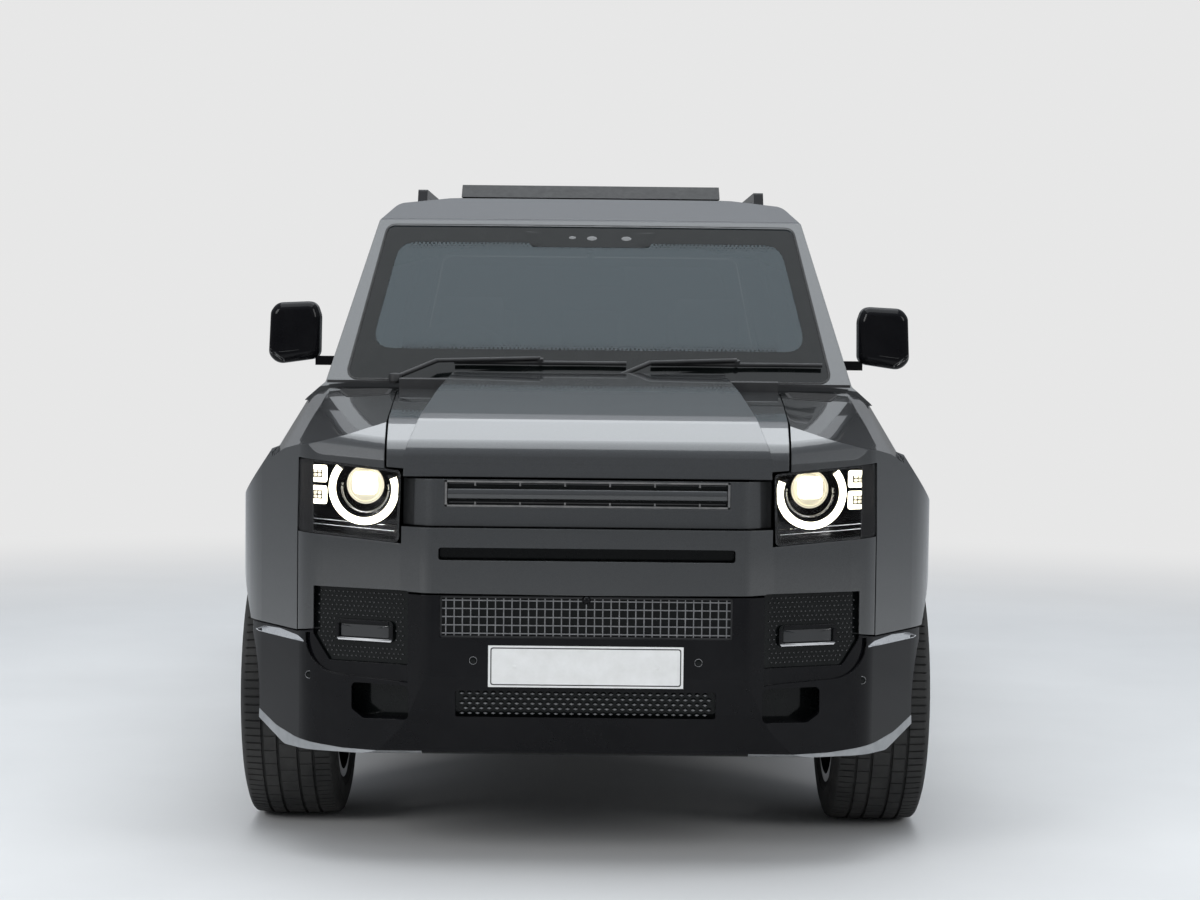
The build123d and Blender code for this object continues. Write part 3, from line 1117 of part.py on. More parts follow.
def seat(x_low, x_high, front, cushion_top, back_top, headrests):
    """One seat with a base, a cushion, a leaning back and headrests."""
    cushion = prism_x([(front, cushion_top - 150), (front, cushion_top), (front + 520, cushion_top - 30),
                       (front + 520, cushion_top - 150)], [20, 50, 0, 0], x_low, x_high)
    back_side = [(front + 420, cushion_top - 120), (front + 420, cushion_top - 60), (front + 570, back_top),
                 (front + 690, back_top), (front + 600, cushion_top - 120)]
    back = prism_x(back_side, [0, 0, 40, 50, 40], x_low, x_high)
    base = block(x_low + 40, x_high - 40, front + 40, front + 480, FLOOR_TOP + SEAT_GAP, cushion_top - 140)
    pieces_of_seat = [cushion, back, base]
    for middle in headrests:
        pieces_of_seat.append(prism_x([(front + 590, back_top - 20), (front + 600, back_top + 170),
                                       (front + 690, back_top + 170), (front + 690, back_top - 20)],
                                      [0, 30, 30, 0], middle - 125, middle + 125))
    return joined(*pieces_of_seat)


front_seats = both_sides(seat(190, 700, 2140, 800, 1420, [445]))
rear_seats = cut(seat(-SEAT_HALF, SEAT_HALF, 2850, 800, 1380, [-430, 0, 430]),
                 block(-800, 800, HEEL - SEAT_GAP, 4000, 300, LOAD_FLOOR - SEAT_WELL + SEAT_GAP))

# Engine: one plain block on two arms
engine_block = joined(block(-290, 290, 330, 1150, 520, 1010),
                      both_sides(block(280, 450, 680, 760, RAIL_HIGH + SEAT_GAP, 610)))

# Exhaust
EXHAUST_X = 230.0
EXHAUST_Z = 310.0
EXHAUST_HANGERS = [1700, 3200]
exhaust = joined(rod((EXHAUST_X, 1200, EXHAUST_Z), (EXHAUST_X, 3560, EXHAUST_Z), 32),
                 block(EXHAUST_X - 130, EXHAUST_X + 130, 2300, 2850, EXHAUST_Z - 60, EXHAUST_Z + 55),
                 *[block(EXHAUST_X - 20, EXHAUST_X + 20, depth, depth + 40, EXHAUST_Z,
                         FLOOR_TOP - FLOOR_SHEET - SEAT_GAP) for depth in EXHAUST_HANGERS])

# Rear bumper, tail lamps and number plates
BUMPER_TOP = 640.0
REAR_PLAN = [(960, 4380, 0), (975, 4560, 40), (880, 4735, 60), (760, BUMPER_REAR, 60)]
rear_points, rear_radii = full_outline(REAR_PLAN)
rear_plan = prism_z(rear_points, rear_radii, 400, BUMPER_TOP)
rear_bumper = cut(rear_plan, outer, both_sides(common(rear_flare, block(800, 1080, 3000, 5200, 0, 1200))),
                  both_sides(arch(REAR_AXLE, ARCH_RADIUS + 30)))
TAIL_LAMPS = [(1030, 1140), (1180, 1290)]


def lamp_box_at(heights, gap=0.0):
    """The box of one tail lamp, grown by a gap."""
    return block(804 - gap, 880 + gap, TAIL - 62 - gap, TAIL + 60, heights[0] - gap, heights[1] + gap)


tail_lamps = both_sides(joined(*[common(outer, lamp_box_at(heights)) for heights in TAIL_LAMPS]))
body_shell = cut(body_shell, both_sides(joined(*[lamp_box_at(heights, SEAT_GAP) for heights in TAIL_LAMPS])))
PLATE_HALF = 260.0
PLATE_HIGH = 111.0
PLATE_THICK = 2.4
FRONT_PLATE_Z = 508.0
REAR_PLATE_Z = 490.0
front_plate_face = NOSE_FACE - SEAT_GAP
rear_plate_face = BUMPER_REAR + SEAT_GAP
number_plates = joined(
    block(-PLATE_HALF, PLATE_HALF, front_plate_face - PLATE_THICK, front_plate_face, FRONT_PLATE_Z,
          FRONT_PLATE_Z + PLATE_HIGH),
    block(-PLATE_HALF, PLATE_HALF, rear_plate_face, rear_plate_face + PLATE_THICK, REAR_PLATE_Z,
          REAR_PLATE_Z + PLATE_HIGH))

left_pieces = {
    "tyre_front": tyre_front, "tyre_rear": tyre_rear, "rim_front": rim_front, "rim_rear": rim_rear,
    "door_front": door_front, "door_rear": door_rear, "door_glass_front": door_glass_front,
    "door_glass_rear": door_glass_rear, "mirror": mirror_left, "knuckle": knuckle_left,
}
for name, shape in left_pieces.items():
    write(f"{name}_left", shape)
    write(f"{name}_right", other_side(shape))

pieces = {
    "scuttle_panel": scuttle_panel, "wipers": wipers, "underbody": underbody, "front_axle": front_axle,
    "rear_axle": rear_axle, "tie_rods": tie_rods, "spare_tyre": spare_tyre, "spare_rim": spare_rim,
    "steering_wheel": steering_wheel.part, "dashboard": dashboard, "front_seats": front_seats,
    "rear_seats": rear_seats, "engine_block": engine_block, "exhaust": exhaust, "rear_bumper": rear_bumper,
    "tail_lamps": tail_lamps, "number_plates": number_plates, "body_shell": body_shell,
    "roof_panel": roof_panel, "sunroof": joined(sunroof_panes, deflector), "roof_rails": roof_rails,
    "windscreen": windscreen, "quarter_glass": quarter_glass, "tailgate": tailgate,
    "tailgate_glass": tailgate_glass, "bumper_upper": bumper_upper, "bumper_lower": bumper_lower,
    "nose_panel": nose_panel, "headlamps": headlamps, "headlamp_covers": headlamp_covers, "grilles": grilles,
    "fog_lamp_pods": fog_pods, "skid_strip": skid_strip, "bonnet": bonnet, "front_wings": front_wings,
}
for name, shape in pieces.items():
    write(name, shape)
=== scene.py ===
"""Looks for a five-door sport utility vehicle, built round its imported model.

Lengths in the helpers are millimetres: x across, d behind the foremost point of the nose, z above the ground.
"""

import json
import math

import bpy
from mathutils import Matrix, Vector
from mathutils.bvhtree import BVHTree


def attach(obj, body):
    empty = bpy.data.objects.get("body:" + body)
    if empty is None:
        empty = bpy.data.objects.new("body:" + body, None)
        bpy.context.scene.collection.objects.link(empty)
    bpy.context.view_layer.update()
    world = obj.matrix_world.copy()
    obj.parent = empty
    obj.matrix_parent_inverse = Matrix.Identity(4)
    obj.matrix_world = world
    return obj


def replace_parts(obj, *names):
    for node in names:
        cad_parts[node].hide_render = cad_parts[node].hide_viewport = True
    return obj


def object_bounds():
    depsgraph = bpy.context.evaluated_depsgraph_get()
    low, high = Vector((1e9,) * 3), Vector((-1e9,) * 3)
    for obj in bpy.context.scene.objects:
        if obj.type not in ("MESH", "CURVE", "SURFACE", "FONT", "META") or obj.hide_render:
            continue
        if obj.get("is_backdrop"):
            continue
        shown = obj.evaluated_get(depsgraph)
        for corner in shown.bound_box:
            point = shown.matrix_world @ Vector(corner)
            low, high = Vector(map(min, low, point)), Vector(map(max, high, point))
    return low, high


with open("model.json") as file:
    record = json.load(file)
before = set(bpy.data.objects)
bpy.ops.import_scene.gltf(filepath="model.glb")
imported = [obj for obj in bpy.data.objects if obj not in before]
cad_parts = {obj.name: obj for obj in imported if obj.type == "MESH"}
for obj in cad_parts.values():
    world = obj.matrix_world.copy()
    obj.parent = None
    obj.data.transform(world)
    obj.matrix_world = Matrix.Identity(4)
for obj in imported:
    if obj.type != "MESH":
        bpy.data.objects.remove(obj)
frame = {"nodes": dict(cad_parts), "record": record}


def corners(box):
    """A box as two plain lists."""
    return [[float(v) for v in corner] for corner in box]


CAD_BOX = corners(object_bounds())
NODES = frame["nodes"]
HALF_LENGTH = 2509.0
SIDES = ((1, "left"), (-1, "right"))


def P(x, d, z):
    """A place in metres from millimetres across, behind the nose and above the ground."""
    return Vector((x / 1000, (d - HALF_LENGTH) / 1000, z / 1000))


# Node helpers for materials


def link(tree, source, target):
    tree.links.new(source, target)


def settings(node, **values):
    """Sets some of a node's sockets, with _ for a blank in a socket's name, or its properties."""
    for key, value in values.items():
        socket = key.replace("_", " ")
        if socket in node.inputs:
            node.inputs[socket].default_value = value
        else:
            setattr(node, key, value)


def add_node(tree, kind, **values):
    """A new shader node with some of its sockets or properties set."""
    node = tree.nodes.new(kind)
    settings(node, **values)
    return node


def ramp_between(tree, source, low, high, colours):
    """A colour ramp between two positions."""
    ramp = tree.nodes.new("ShaderNodeValToRGB")
    ramp.color_ramp.elements[0].position = low
    ramp.color_ramp.elements[1].position = high
    ramp.color_ramp.elements[0].color = (*colours[0], 1)
    ramp.color_ramp.elements[1].color = (*colours[1], 1)
    link(tree, source, ramp.inputs["Fac"])
    return ramp


M = {}


def base_material(name):
    """A new material, kept in M, with its tree, its shader and object coordinates."""
    material = M[name] = bpy.data.materials.new(name)
    material.use_nodes = True
    tree = material.node_tree
    shader = tree.nodes["Principled BSDF"]
    coords = tree.nodes.new("ShaderNodeTexCoord")
    return tree, shader, coords.outputs["Object"]


def coloured(tree, shader, source, low, high, colours, target="Base Color"):
    """Gives a shader's socket the colours of a ramp."""
    link(tree, ramp_between(tree, source, low, high, colours).outputs["Color"], shader.inputs[target])


def noise(tree, where, scale, detail=3.0, rough=0.5):
    node = add_node(tree, "ShaderNodeTexNoise", Scale=scale, Detail=detail, Roughness=rough)
    link(tree, where, node.inputs["Vector"])
    return node.outputs["Fac"]


def cells_at(tree, where, scale):
    """A pattern of cells at a scale."""
    node = add_node(tree, "ShaderNodeTexVoronoi", Scale=scale)
    link(tree, where, node.inputs["Vector"])
    return node


def bump(tree, shader, height, distance, strength=1.0):
    node = add_node(tree, "ShaderNodeBump", Distance=distance, Strength=strength)
    link(tree, height, node.inputs["Height"])
    link(tree, node.outputs["Normal"], shader.inputs["Normal"])


def soft_edges(tree, shader, radius):
    """Edges that shade as if they were rounded by a small radius."""
    node = add_node(tree, "ShaderNodeBevel", samples=4, Radius=radius)
    for target in tree.nodes:
        if target.bl_idname == "ShaderNodeBump":
            link(tree, node.outputs["Normal"], target.inputs["Normal"])
            return
    link(tree, node.outputs["Normal"], shader.inputs["Normal"])


def mapped(tree, source, low, high, target):
    """Gives a socket a factor mapped to a range."""
    node = add_node(tree, "ShaderNodeMapRange", To_Min=low, To_Max=high)
    link(tree, source, node.inputs["Value"])
    link(tree, node.outputs["Result"], target)


def surface(name, dark, light, rough, metallic=0.0, coat=0.0, scale=40.0, grain=0.0, grain_scale=900.0,
            coat_rough=0.03, specular=0.5, edge=0.0):
    """A surface with cloudy colour and roughness and a fine grain."""
    tree, shader, where = base_material(name)
    coloured(tree, shader, noise(tree, where, scale, 5.0, 0.6), 0.3, 0.7, (dark, light))
    mapped(tree, noise(tree, where, scale * 2.3, 4.0), *rough, shader.inputs["Roughness"])
    settings(shader, Metallic=metallic, Coat_Weight=coat, Coat_Roughness=coat_rough,
             Specular_IOR_Level=specular)
    if grain:
        bump(tree, shader, noise(tree, where, grain_scale, 2.0), grain)
    if edge:
        soft_edges(tree, shader, edge)


def car_paint(name):
    """Dark grey metallic paint under a clear coat, with fine flakes."""
    tree, shader, where = base_material(name)
    flakes = cells_at(tree, where, 1600.0)
    coloured(tree, shader, flakes.outputs["Color"], 0.1, 0.95, ((0.030, 0.031, 0.032), (0.066, 0.069, 0.071)))
    mapped(tree, noise(tree, where, 3.0, 4.0), 0.30, 0.36, shader.inputs["Roughness"])
    settings(shader, Metallic=0.72, Coat_Weight=1.0, Coat_Roughness=0.02, Coat_IOR=1.55)
    bump(tree, shader, flakes.outputs["Distance"], 0.00002, 0.3)
    soft_edges(tree, shader, 0.004)


def glass_material(name, colour, alpha, rough=0.01):
    """Tinted glass whose tint is even and whose transparency depends on the angle."""
    tree, shader, where = base_material(name)
    mapped(tree, noise(tree, where, 2.0, 3.0), rough, rough * 1.8, shader.inputs["Roughness"])
    settings(shader, Base_Color=(*colour, 1), IOR=1.5, Specular_IOR_Level=0.35)
    fresnel = add_node(tree, "ShaderNodeFresnel", IOR=1.5)
    mapped(tree, fresnel.outputs["Fac"], alpha, 1.0, shader.inputs["Alpha"])


def glow_material(name, colour, strength):
    """A lit lamp surface with a faint pattern of its light guide."""
    tree, shader, where = base_material(name)
    settings(shader, Base_Color=(0.9, 0.9, 0.85, 1), Emission_Strength=strength, Roughness=0.25)
    coloured(tree, shader, noise(tree, where, 60.0), 0.2, 0.8, (tuple(c * 0.92 for c in colour), colour),
             "Emission Color")


def leather(name, dark, light):
    """Fine-grained leather with soft creases."""
    tree, shader, where = base_material(name)
    coloured(tree, shader, noise(tree, where, 9.0, 5.0), 0.3, 0.75, (dark, light))
    cells = cells_at(tree, where, 420.0)
    cells.feature = "DISTANCE_TO_EDGE"
    bump(tree, shader, cells.outputs["Distance"], 0.0006, 0.5)
    mapped(tree, noise(tree, where, 30.0), 0.42, 0.6, shader.inputs["Roughness"])
    settings(shader, Sheen_Weight=0.1)


def tyre_rubber(name):
    """Dull rubber, dusty on the tread, with a fine grain."""
    tree, shader, where = base_material(name)
    coloured(tree, shader, noise(tree, where, 6.0, 6.0, 0.7), 0.35, 0.75,
             ((0.022, 0.022, 0.022), (0.050, 0.049, 0.047)))
    mapped(tree, noise(tree, where, 14.0), 0.7, 0.9, shader.inputs["Roughness"])
    settings(shader, Specular_IOR_Level=0.3)
    bump(tree, shader, noise(tree, where, 700.0), 0.0003, 0.6)


def plastic_grain(name, dark, light):
    """Moulded plastic with a leathery texture."""
    tree, shader, where = base_material(name)
    coloured(tree, shader, noise(tree, where, 12.0, 4.0), 0.3, 0.7, (dark, light))
    bump(tree, shader, cells_at(tree, where, 650.0).outputs["Distance"], 0.0002, 0.5)
    mapped(tree, noise(tree, where, 30.0), 0.5, 0.65, shader.inputs["Roughness"])


car_paint("paint")
surface("gloss_black", (0.003, 0.003, 0.004), (0.006, 0.006, 0.007), (0.06, 0.12), coat=0.06, scale=8.0,
        coat_rough=0.01, specular=0.12, edge=0.003)
plastic_grain("black_plastic", (0.012, 0.012, 0.013), (0.026, 0.026, 0.027))
surface("chassis", (0.012, 0.012, 0.012), (0.035, 0.033, 0.030), (0.55, 0.8), scale=14.0, grain=0.0004,
        grain_scale=300.0)
surface("steel", (0.20, 0.20, 0.20), (0.34, 0.33, 0.32), (0.30, 0.5), metallic=1.0, scale=30.0)
surface("silver", (0.30, 0.31, 0.32), (0.40, 0.41, 0.42), (0.28, 0.4), metallic=0.85, scale=20.0)
glass_material("glass", (0.030, 0.047, 0.055), 0.74, 0.08)
glass_material("dark_glass", (0.006, 0.008, 0.009), 0.90, 0.05)
glass_material("lamp_clear", (0.05, 0.05, 0.052), 0.03)
surface("lamp_body", (0.012, 0.012, 0.013), (0.022, 0.021, 0.020), (0.15, 0.25), coat=0.8, scale=25.0)
surface("lamp_red", (0.20, 0.004, 0.006), (0.32, 0.010, 0.012), (0.08, 0.14), coat=1.0, scale=30.0)
tyre_rubber("tyre")
surface("rim", (0.006, 0.006, 0.007), (0.014, 0.014, 0.015), (0.14, 0.22), coat=0.8, scale=18.0, edge=0.003)
leather("seat", (0.018, 0.018, 0.019), (0.034, 0.033, 0.033))
plastic_grain("trim", (0.016, 0.016, 0.017), (0.030, 0.030, 0.031))
surface("plate", (0.76, 0.76, 0.74), (0.84, 0.84, 0.83), (0.30, 0.42), coat=0.3, scale=24.0)
surface("cast", (0.08, 0.08, 0.08), (0.16, 0.155, 0.15), (0.5, 0.7), metallic=0.7, scale=30.0, grain=0.0006,
        grain_scale=260.0)
surface("wire", (0.17, 0.17, 0.175), (0.27, 0.27, 0.275), (0.3, 0.45), metallic=0.6, scale=40.0)
# The studs' tone, a little lighter than the near-black pod face, is a painted highlight on the dots, besides
# the real highlights from their coat and raised shape.
surface("studs", (0.030, 0.030, 0.031), (0.055, 0.055, 0.056), (0.18, 0.3), coat=0.6, scale=120.0)
surface("chrome", (0.62, 0.62, 0.63), (0.75, 0.75, 0.76), (0.06, 0.12), metallic=1.0, scale=30.0)
glow_material("glow", (1.0, 0.93, 0.72), 6.0)
glow_material("glow_soft", (1.0, 0.86, 0.56), 0.5)
surface("rubber", (0.010, 0.010, 0.010), (0.022, 0.022, 0.022), (0.55, 0.75), scale=30.0)
# Near-black frit for printed glass borders; the same finish is also painted shade on the grille's back walls,
# in the tow recesses and behind the nose slot.
surface("frit", (0.003, 0.004, 0.004), (0.006, 0.007, 0.007), (0.08, 0.14), coat=0.05, scale=20.0,
        specular=0.15)
surface("lining", (0.050, 0.050, 0.051), (0.075, 0.074, 0.072), (0.8, 0.95), scale=60.0, grain=0.0004,
        grain_scale=800.0, specular=0.2)
surface("pad_rubber", (0.014, 0.014, 0.014), (0.026, 0.025, 0.025), (0.6, 0.8), scale=30.0, grain=0.0008,
        grain_scale=260.0, specular=0.3)
surface("reflector", (0.45, 0.46, 0.48), (0.62, 0.63, 0.65), (0.10, 0.2), metallic=0.9, coat=0.6, scale=160.0)
surface("amber", (0.55, 0.16, 0.01), (0.70, 0.24, 0.02), (0.10, 0.18), coat=0.8, scale=60.0)
surface("display", (0.004, 0.005, 0.006), (0.008, 0.009, 0.011), (0.04, 0.08), coat=0.4, scale=8.0)
surface("mirror_glass", (0.7, 0.71, 0.72), (0.78, 0.79, 0.8), (0.02, 0.05), metallic=1.0, scale=10.0)


# Mesh helpers


def put(obj, material, body, slot=None, smooth=38.0):
    """Gives a new piece its material, its body and its smoothing."""
    obj.data.materials.append(M[material])
    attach(obj, body)
    slot or SLOT_OF[material]
    if smooth:
        smooth_by_angle(obj, smooth)
    return obj


SLOT_OF = {entry["material_slot"]: entry["material_slot"] for entry in frame["record"]["subparts"]}
SLOT_OF.update({"wire": "steel", "chrome": "steel", "glow": "lamp_body", "glow_soft": "lamp_body",
                "rubber": "black_plastic", "frit": "gloss_black", "mirror_glass": "steel",
                "dark_glass": "glass", "lining": "trim", "pad_rubber": "black_plastic",
                "reflector": "silver", "amber": "lamp_red",
                "display": "gloss_black", "studs": "black_plastic"})


def smooth_by_angle(obj, degrees):
    """Smooth shading with sharp edges above an angle."""
    mesh = obj.data
    for polygon in mesh.polygons:
        polygon.use_smooth = True
    mesh.set_sharp_from_angle(angle=math.radians(degrees))


def added(name, data):
    """A new object in the scene."""
    obj = bpy.data.objects.new(name, data)
    bpy.context.scene.collection.objects.link(obj)
    return obj


def piece(name, points, faces, material, body, slot=None, smooth=38.0):
    """A new mesh piece from points in metres."""
    mesh = bpy.data.meshes.new(name)
    mesh.from_pydata([tuple(p) for p in points], [], faces)
    mesh.validate()
    return put(added(name, mesh), material, body, slot, smooth)


def with_modifier(obj, kind, **values):
    """Adds one modifier with its settings."""
    modifier = obj.modifiers.new(kind.lower(), kind)
    for key, value in values.items():
        setattr(modifier, key, value)
    return modifier


def turns(count):
    """Equal steps round a circle, in radians."""
    return [2 * math.pi * k / count for k in range(count)]


def loft(rings, closed=True, caps=True):
    """Points and faces of a skin through rings of equal length."""
    size = len(rings[0])
    points = [p for ring in rings for p in ring]
    faces = []
    span = size if closed else size - 1
    for row in range(len(rings) - 1):
        for i in range(span):
            a = row * size + i
            b = row * size + (i + 1) % size
            faces.append((a, b, b + size, a + size))
    if caps and closed:
        faces.append(tuple(reversed(range(size))))
        faces.append(tuple((len(rings) - 1) * size + i for i in range(size)))
    return points, faces


def cuboid(x, d, z):
    """The points and faces of a box between pairs of limits."""
    return loft([[P(x[0], depth, z[0]), P(x[1], depth, z[0]), P(x[1], depth, z[1]), P(x[0], depth, z[1])]
                 for depth in d])


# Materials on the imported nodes
for entry in frame["record"]["subparts"]:
    obj = NODES[entry["node"]]
    material = M[entry["material_slot"]]
    if obj.material_slots:
        for place in obj.material_slots:
            place.material = material
    else:
        obj.data.materials.append(material)
    smooth_by_angle(obj, 30)


def faces_to(node, material, test):
    """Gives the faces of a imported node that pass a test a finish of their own."""
    obj = NODES[node]
    obj.data.materials.append(M[material])
    index = len(obj.data.materials) - 1
    for polygon in obj.data.polygons:
        centre = polygon.center
        if test(centre.x * 1000, centre.y * 1000 + HALF_LENGTH, centre.z * 1000, polygon.normal):
            polygon.material_index = index


FRONT_AXLE = 845.0
REAR_AXLE = 3867.0
AXLE_Z = 403.0
for arched in ("front_wings", "body_shell", "bumper_lower", "rear_bumper", "underbody"):
    faces_to(arched, "rubber", lambda x, d, z, n: abs(x) > 475
             and min(math.hypot(d - FRONT_AXLE, z - AXLE_Z), math.hypot(d - REAR_AXLE, z - AXLE_Z)) < 460)
for panel in ("door_front_left", "door_front_right", "door_rear_left", "door_rear_right"):
    faces_to(panel, "trim", lambda x, d, z, n: n.x * x < -0.25 * abs(x))
faces_to("body_shell", "trim", lambda x, d, z, n: abs(x) < 900 and n.x * x < -0.25 * abs(x) and z > 405)
faces_to("body_shell", "lining", lambda x, d, z, n: n.z < -0.4 and z > 1780)
faces_to("roof_panel", "lining", lambda x, d, z, n: n.z < -0.3)
faces_to("tailgate", "trim", lambda x, d, z, n: n.y < -0.3)
faces_to("bonnet", "black_plastic", lambda x, d, z, n: n.z < -0.4)
for pane in ("door_glass_rear_left", "door_glass_rear_right", "quarter_glass", "tailgate_glass", "sunroof"):
    for place in NODES[pane].material_slots:
        place.material = M["dark_glass"]
faces_to("sunroof", "rubber", lambda x, d, z, n: d < 2215)
# The back walls of the grille openings, seen through the mesh, are made near-black with frit: painted shade
# for the dark space behind the grille.
faces_to("grilles", "frit", lambda x, d, z, n: n.y < -0.5 and d > (13 if z < 800 else 45))
# The back faces of the tow recesses are made near-black with frit: painted shade in the recesses.
faces_to("bumper_lower", "frit",
         lambda x, d, z, n: n.y < -0.5 and d > 72 and 470 < abs(x) < 640 and 400 < z < 508)
faces_to("fog_lamp_pods", "frit", lambda x, d, z, n: n.y < -0.2)
faces_to("exhaust", "chassis", lambda x, d, z, n: d < 4650)

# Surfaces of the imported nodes, for placing details on them


def skin_of(*names):
    """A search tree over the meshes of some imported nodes."""
    points = []
    faces = []
    for name in names:
        mesh = NODES[name].data
        base = len(points)
        points += [v.co.copy() for v in mesh.vertices]
        faces += [tuple(base + i for i in p.vertices) for p in mesh.polygons]
    return BVHTree.FromPolygons(points, faces)


def depth_at(skin, x, z, fallback=None):
    """How far behind the nose a ray from the front meets a skin, at a place across and a height."""
    hit = skin.ray_cast(P(x, -400, z), Vector((0, 1, 0)))[0]
    return fallback if hit is None else hit.y * 1000 + HALF_LENGTH


def tube(name, path, radius, material, body, sides=8, closed=False, slot=None, flat=1.0):
    """A round bar along points in metres; flat squeezes it in height."""
    count = len(path)
    rings = []
    for i, point in enumerate(path):
        before = path[(i - 1) % count] if closed or i > 0 else point
        after = path[(i + 1) % count] if closed or i < count - 1 else point
        along = (after - before).normalized()
        across = along.cross(Vector((0, 0, 1)))
        if across.length < 0.05:
            across = along.cross(Vector((1, 0, 0)))
        across.normalize()
        up = across.cross(along).normalized()
        rings.append([point + (across * math.cos(t) + up * math.sin(t) * flat) * radius / 1000
                      for t in turns(sides)])
    if closed:
        rings.append(rings[0])
    points, faces = loft(rings, caps=not closed)
    return piece(name, points, faces, material, body, slot, 60)


def merged(name, parts, material, body, slot=None, smooth=38.0):
    """One piece from several (points, faces) pairs."""
    points = []
    faces = []
    for some, more in parts:
        base = len(points)
        points += list(some)
        faces += [tuple(base + i for i in face) for face in more]
    return piece(name, points, faces, material, body, slot, smooth)


def outline_of(points, radii, parts=1, steps=5):
    """A closed outline with rounded corners whose straight runs are divided into equal parts."""
    count = len(points)
    corners = []
    for i, point in enumerate(points):
        before, here, after = (Vector(points[k]) for k in (i - 1, i, (i + 1) % count))
        radius = radii[i] if isinstance(radii, (list, tuple)) else radii
        back, ahead = before - here, after - here
        reach = radius / math.tan(back.angle(ahead) / 2)
        reach = min(reach, back.length * 0.49, ahead.length * 0.49)
        start = here + back.normalized() * reach
        end = here + ahead.normalized() * reach
        corners.append([start * (1 - t) ** 2 + here * 2 * t * (1 - t) + end * t ** 2
                        for t in (s / steps for s in range(steps + 1))])
    outline = []
    for i, corner in enumerate(corners):
        following = corners[(i + 1) % count][0]
        outline += corner
        outline += [corner[-1].lerp(following, k / parts) for k in range(1, parts)]
    return [tuple(p) for p in outline]


def placer(skin, axis, sense, far, near):
    """Places on a skin seen along an axis, lifted towards the viewer.

    A place is given by the other two of x, d and z. A ray starts at far, and near is where the skin is sought
    when the ray misses it.
    """
    def spot(a, b, value):
        numbers = [a, b]
        numbers.insert(axis, value)
        return P(*numbers)

    ray = Vector((0, 0, 0))
    ray[axis] = -sense

    def place(a, b, lift):
        hit = skin.ray_cast(spot(a, b, far), ray)[0] or skin.find_nearest(spot(a, b, near))[0]
        return spot(a, b, hit[axis] * 1000 + (HALF_LENGTH if axis == 1 else 0.0) + sense * lift)
    return place


def rectangle(left, right, low, high, radius, parts=1, steps=5):
    """The outline of a rectangle with rounded corners."""
    return outline_of([(left, low), (right, low), (right, high), (left, high)], radius, parts, steps)


def inset(edges, by):
    """The four limits of a rectangle, drawn in."""
    return edges[0] + by, edges[1] - by, edges[2] + by, edges[3] - by


def circle(a, b, radius, count):
    """The outline of a circle."""
    return [(a + radius * math.cos(t), b + radius * math.sin(t)) for t in turns(count)]


def sided(outline, side):
    """An outline given for the left side, mirrored where side is negative."""
    return outline if side > 0 else [(-a, b) for a, b in outline]


def front_place(skin):
    """Places (x, z) on a skin seen from the front."""
    return placer(skin, 1, -1, -400, 60)


def rear_place(skin):
    """Places (x, z) on a skin seen from behind."""
    return placer(skin, 1, 1, 5400, 4720)


def side_place(skin, side):
    """Places (d, z) on a skin seen from one side."""
    return placer(skin, 0, side, side * 1400, side * 900)


def top_place(skin):
    """Places (x, d) on a skin seen from above."""
    return placer(skin, 2, 1, 2600, 1300)


def shrunk(outline, share):
    """An outline drawn in towards its middle."""
    a = sum(p[0] for p in outline) / len(outline)
    b = sum(p[1] for p in outline) / len(outline)
    return [(a + (p[0] - a) * share, b + (p[1] - b) * share) for p in outline]


def patch_rows(outline, place, lift, rings=4, sink=0.8):
    """The points and faces of a thin raised patch that follows a surface."""
    size = max(max(p[0] for p in outline) - min(p[0] for p in outline),
               max(p[1] for p in outline) - min(p[1] for p in outline))
    rim = 1 - 2.0 * min(abs(lift), 2.0) / size
    rows = [[place(a, b, -sink) for a, b in outline], [place(a, b, lift * 0.6) for a, b in outline],
            [place(a, b, lift) for a, b in shrunk(outline, rim)]]
    for k in range(1, rings):
        rows.append([place(a, b, lift) for a, b in shrunk(outline, 1 - k / rings)])
    rows.append([place(a, b, lift) for a, b in shrunk(outline, 0.02)])
    return loft(rows)


def patch(name, outline, place, lift, material, body, rings=4, sink=0.8):
    """A thin raised piece inside an outline, which follows a surface."""
    return piece(name, *patch_rows(outline, place, lift, rings, sink), material, body)


def band_rows(outer, inner, place, lift, sink=0.8):
    """The points and faces of a raised band between two outlines of equal length."""
    rows = [[place(a, b, -sink) for a, b in outer], [place(a, b, lift) for a, b in outer],
            [place(a, b, lift) for a, b in inner], [place(a, b, -sink) for a, b in inner]]
    rows.append(rows[0])
    return loft(rows, caps=False)


def band(name, outer, inner, place, lift, material, body, sink=0.8):
    """A raised band between two outlines of equal length, which follows a surface."""
    return piece(name, *band_rows(outer, inner, place, lift, sink), material, body)


# Headlamps: lit ring, projector and cubes over the housing's own forms
RING_CENTRE = (605.0, 1026.0)
PROJECTOR = (600.0, 1037.0)
CUBES = ((708.0, 777.0, 981.0, 1030.0), (708.0, 777.0, 1040.0, 1086.0))
ELEMENT_DEEP = 25.8
cover_skin = skin_of("headlamp_covers")


def lamp_place(x, z, lift):
    """A place on the lit faces of the lamp, which follow its cover some way behind it."""
    inside = min(max(abs(x), 512.0), 782.0)
    d = depth_at(cover_skin, math.copysign(inside, x), min(max(z, 912.0), 1068.0), 100.0)
    return P(x, d + ELEMENT_DEEP - lift, z)


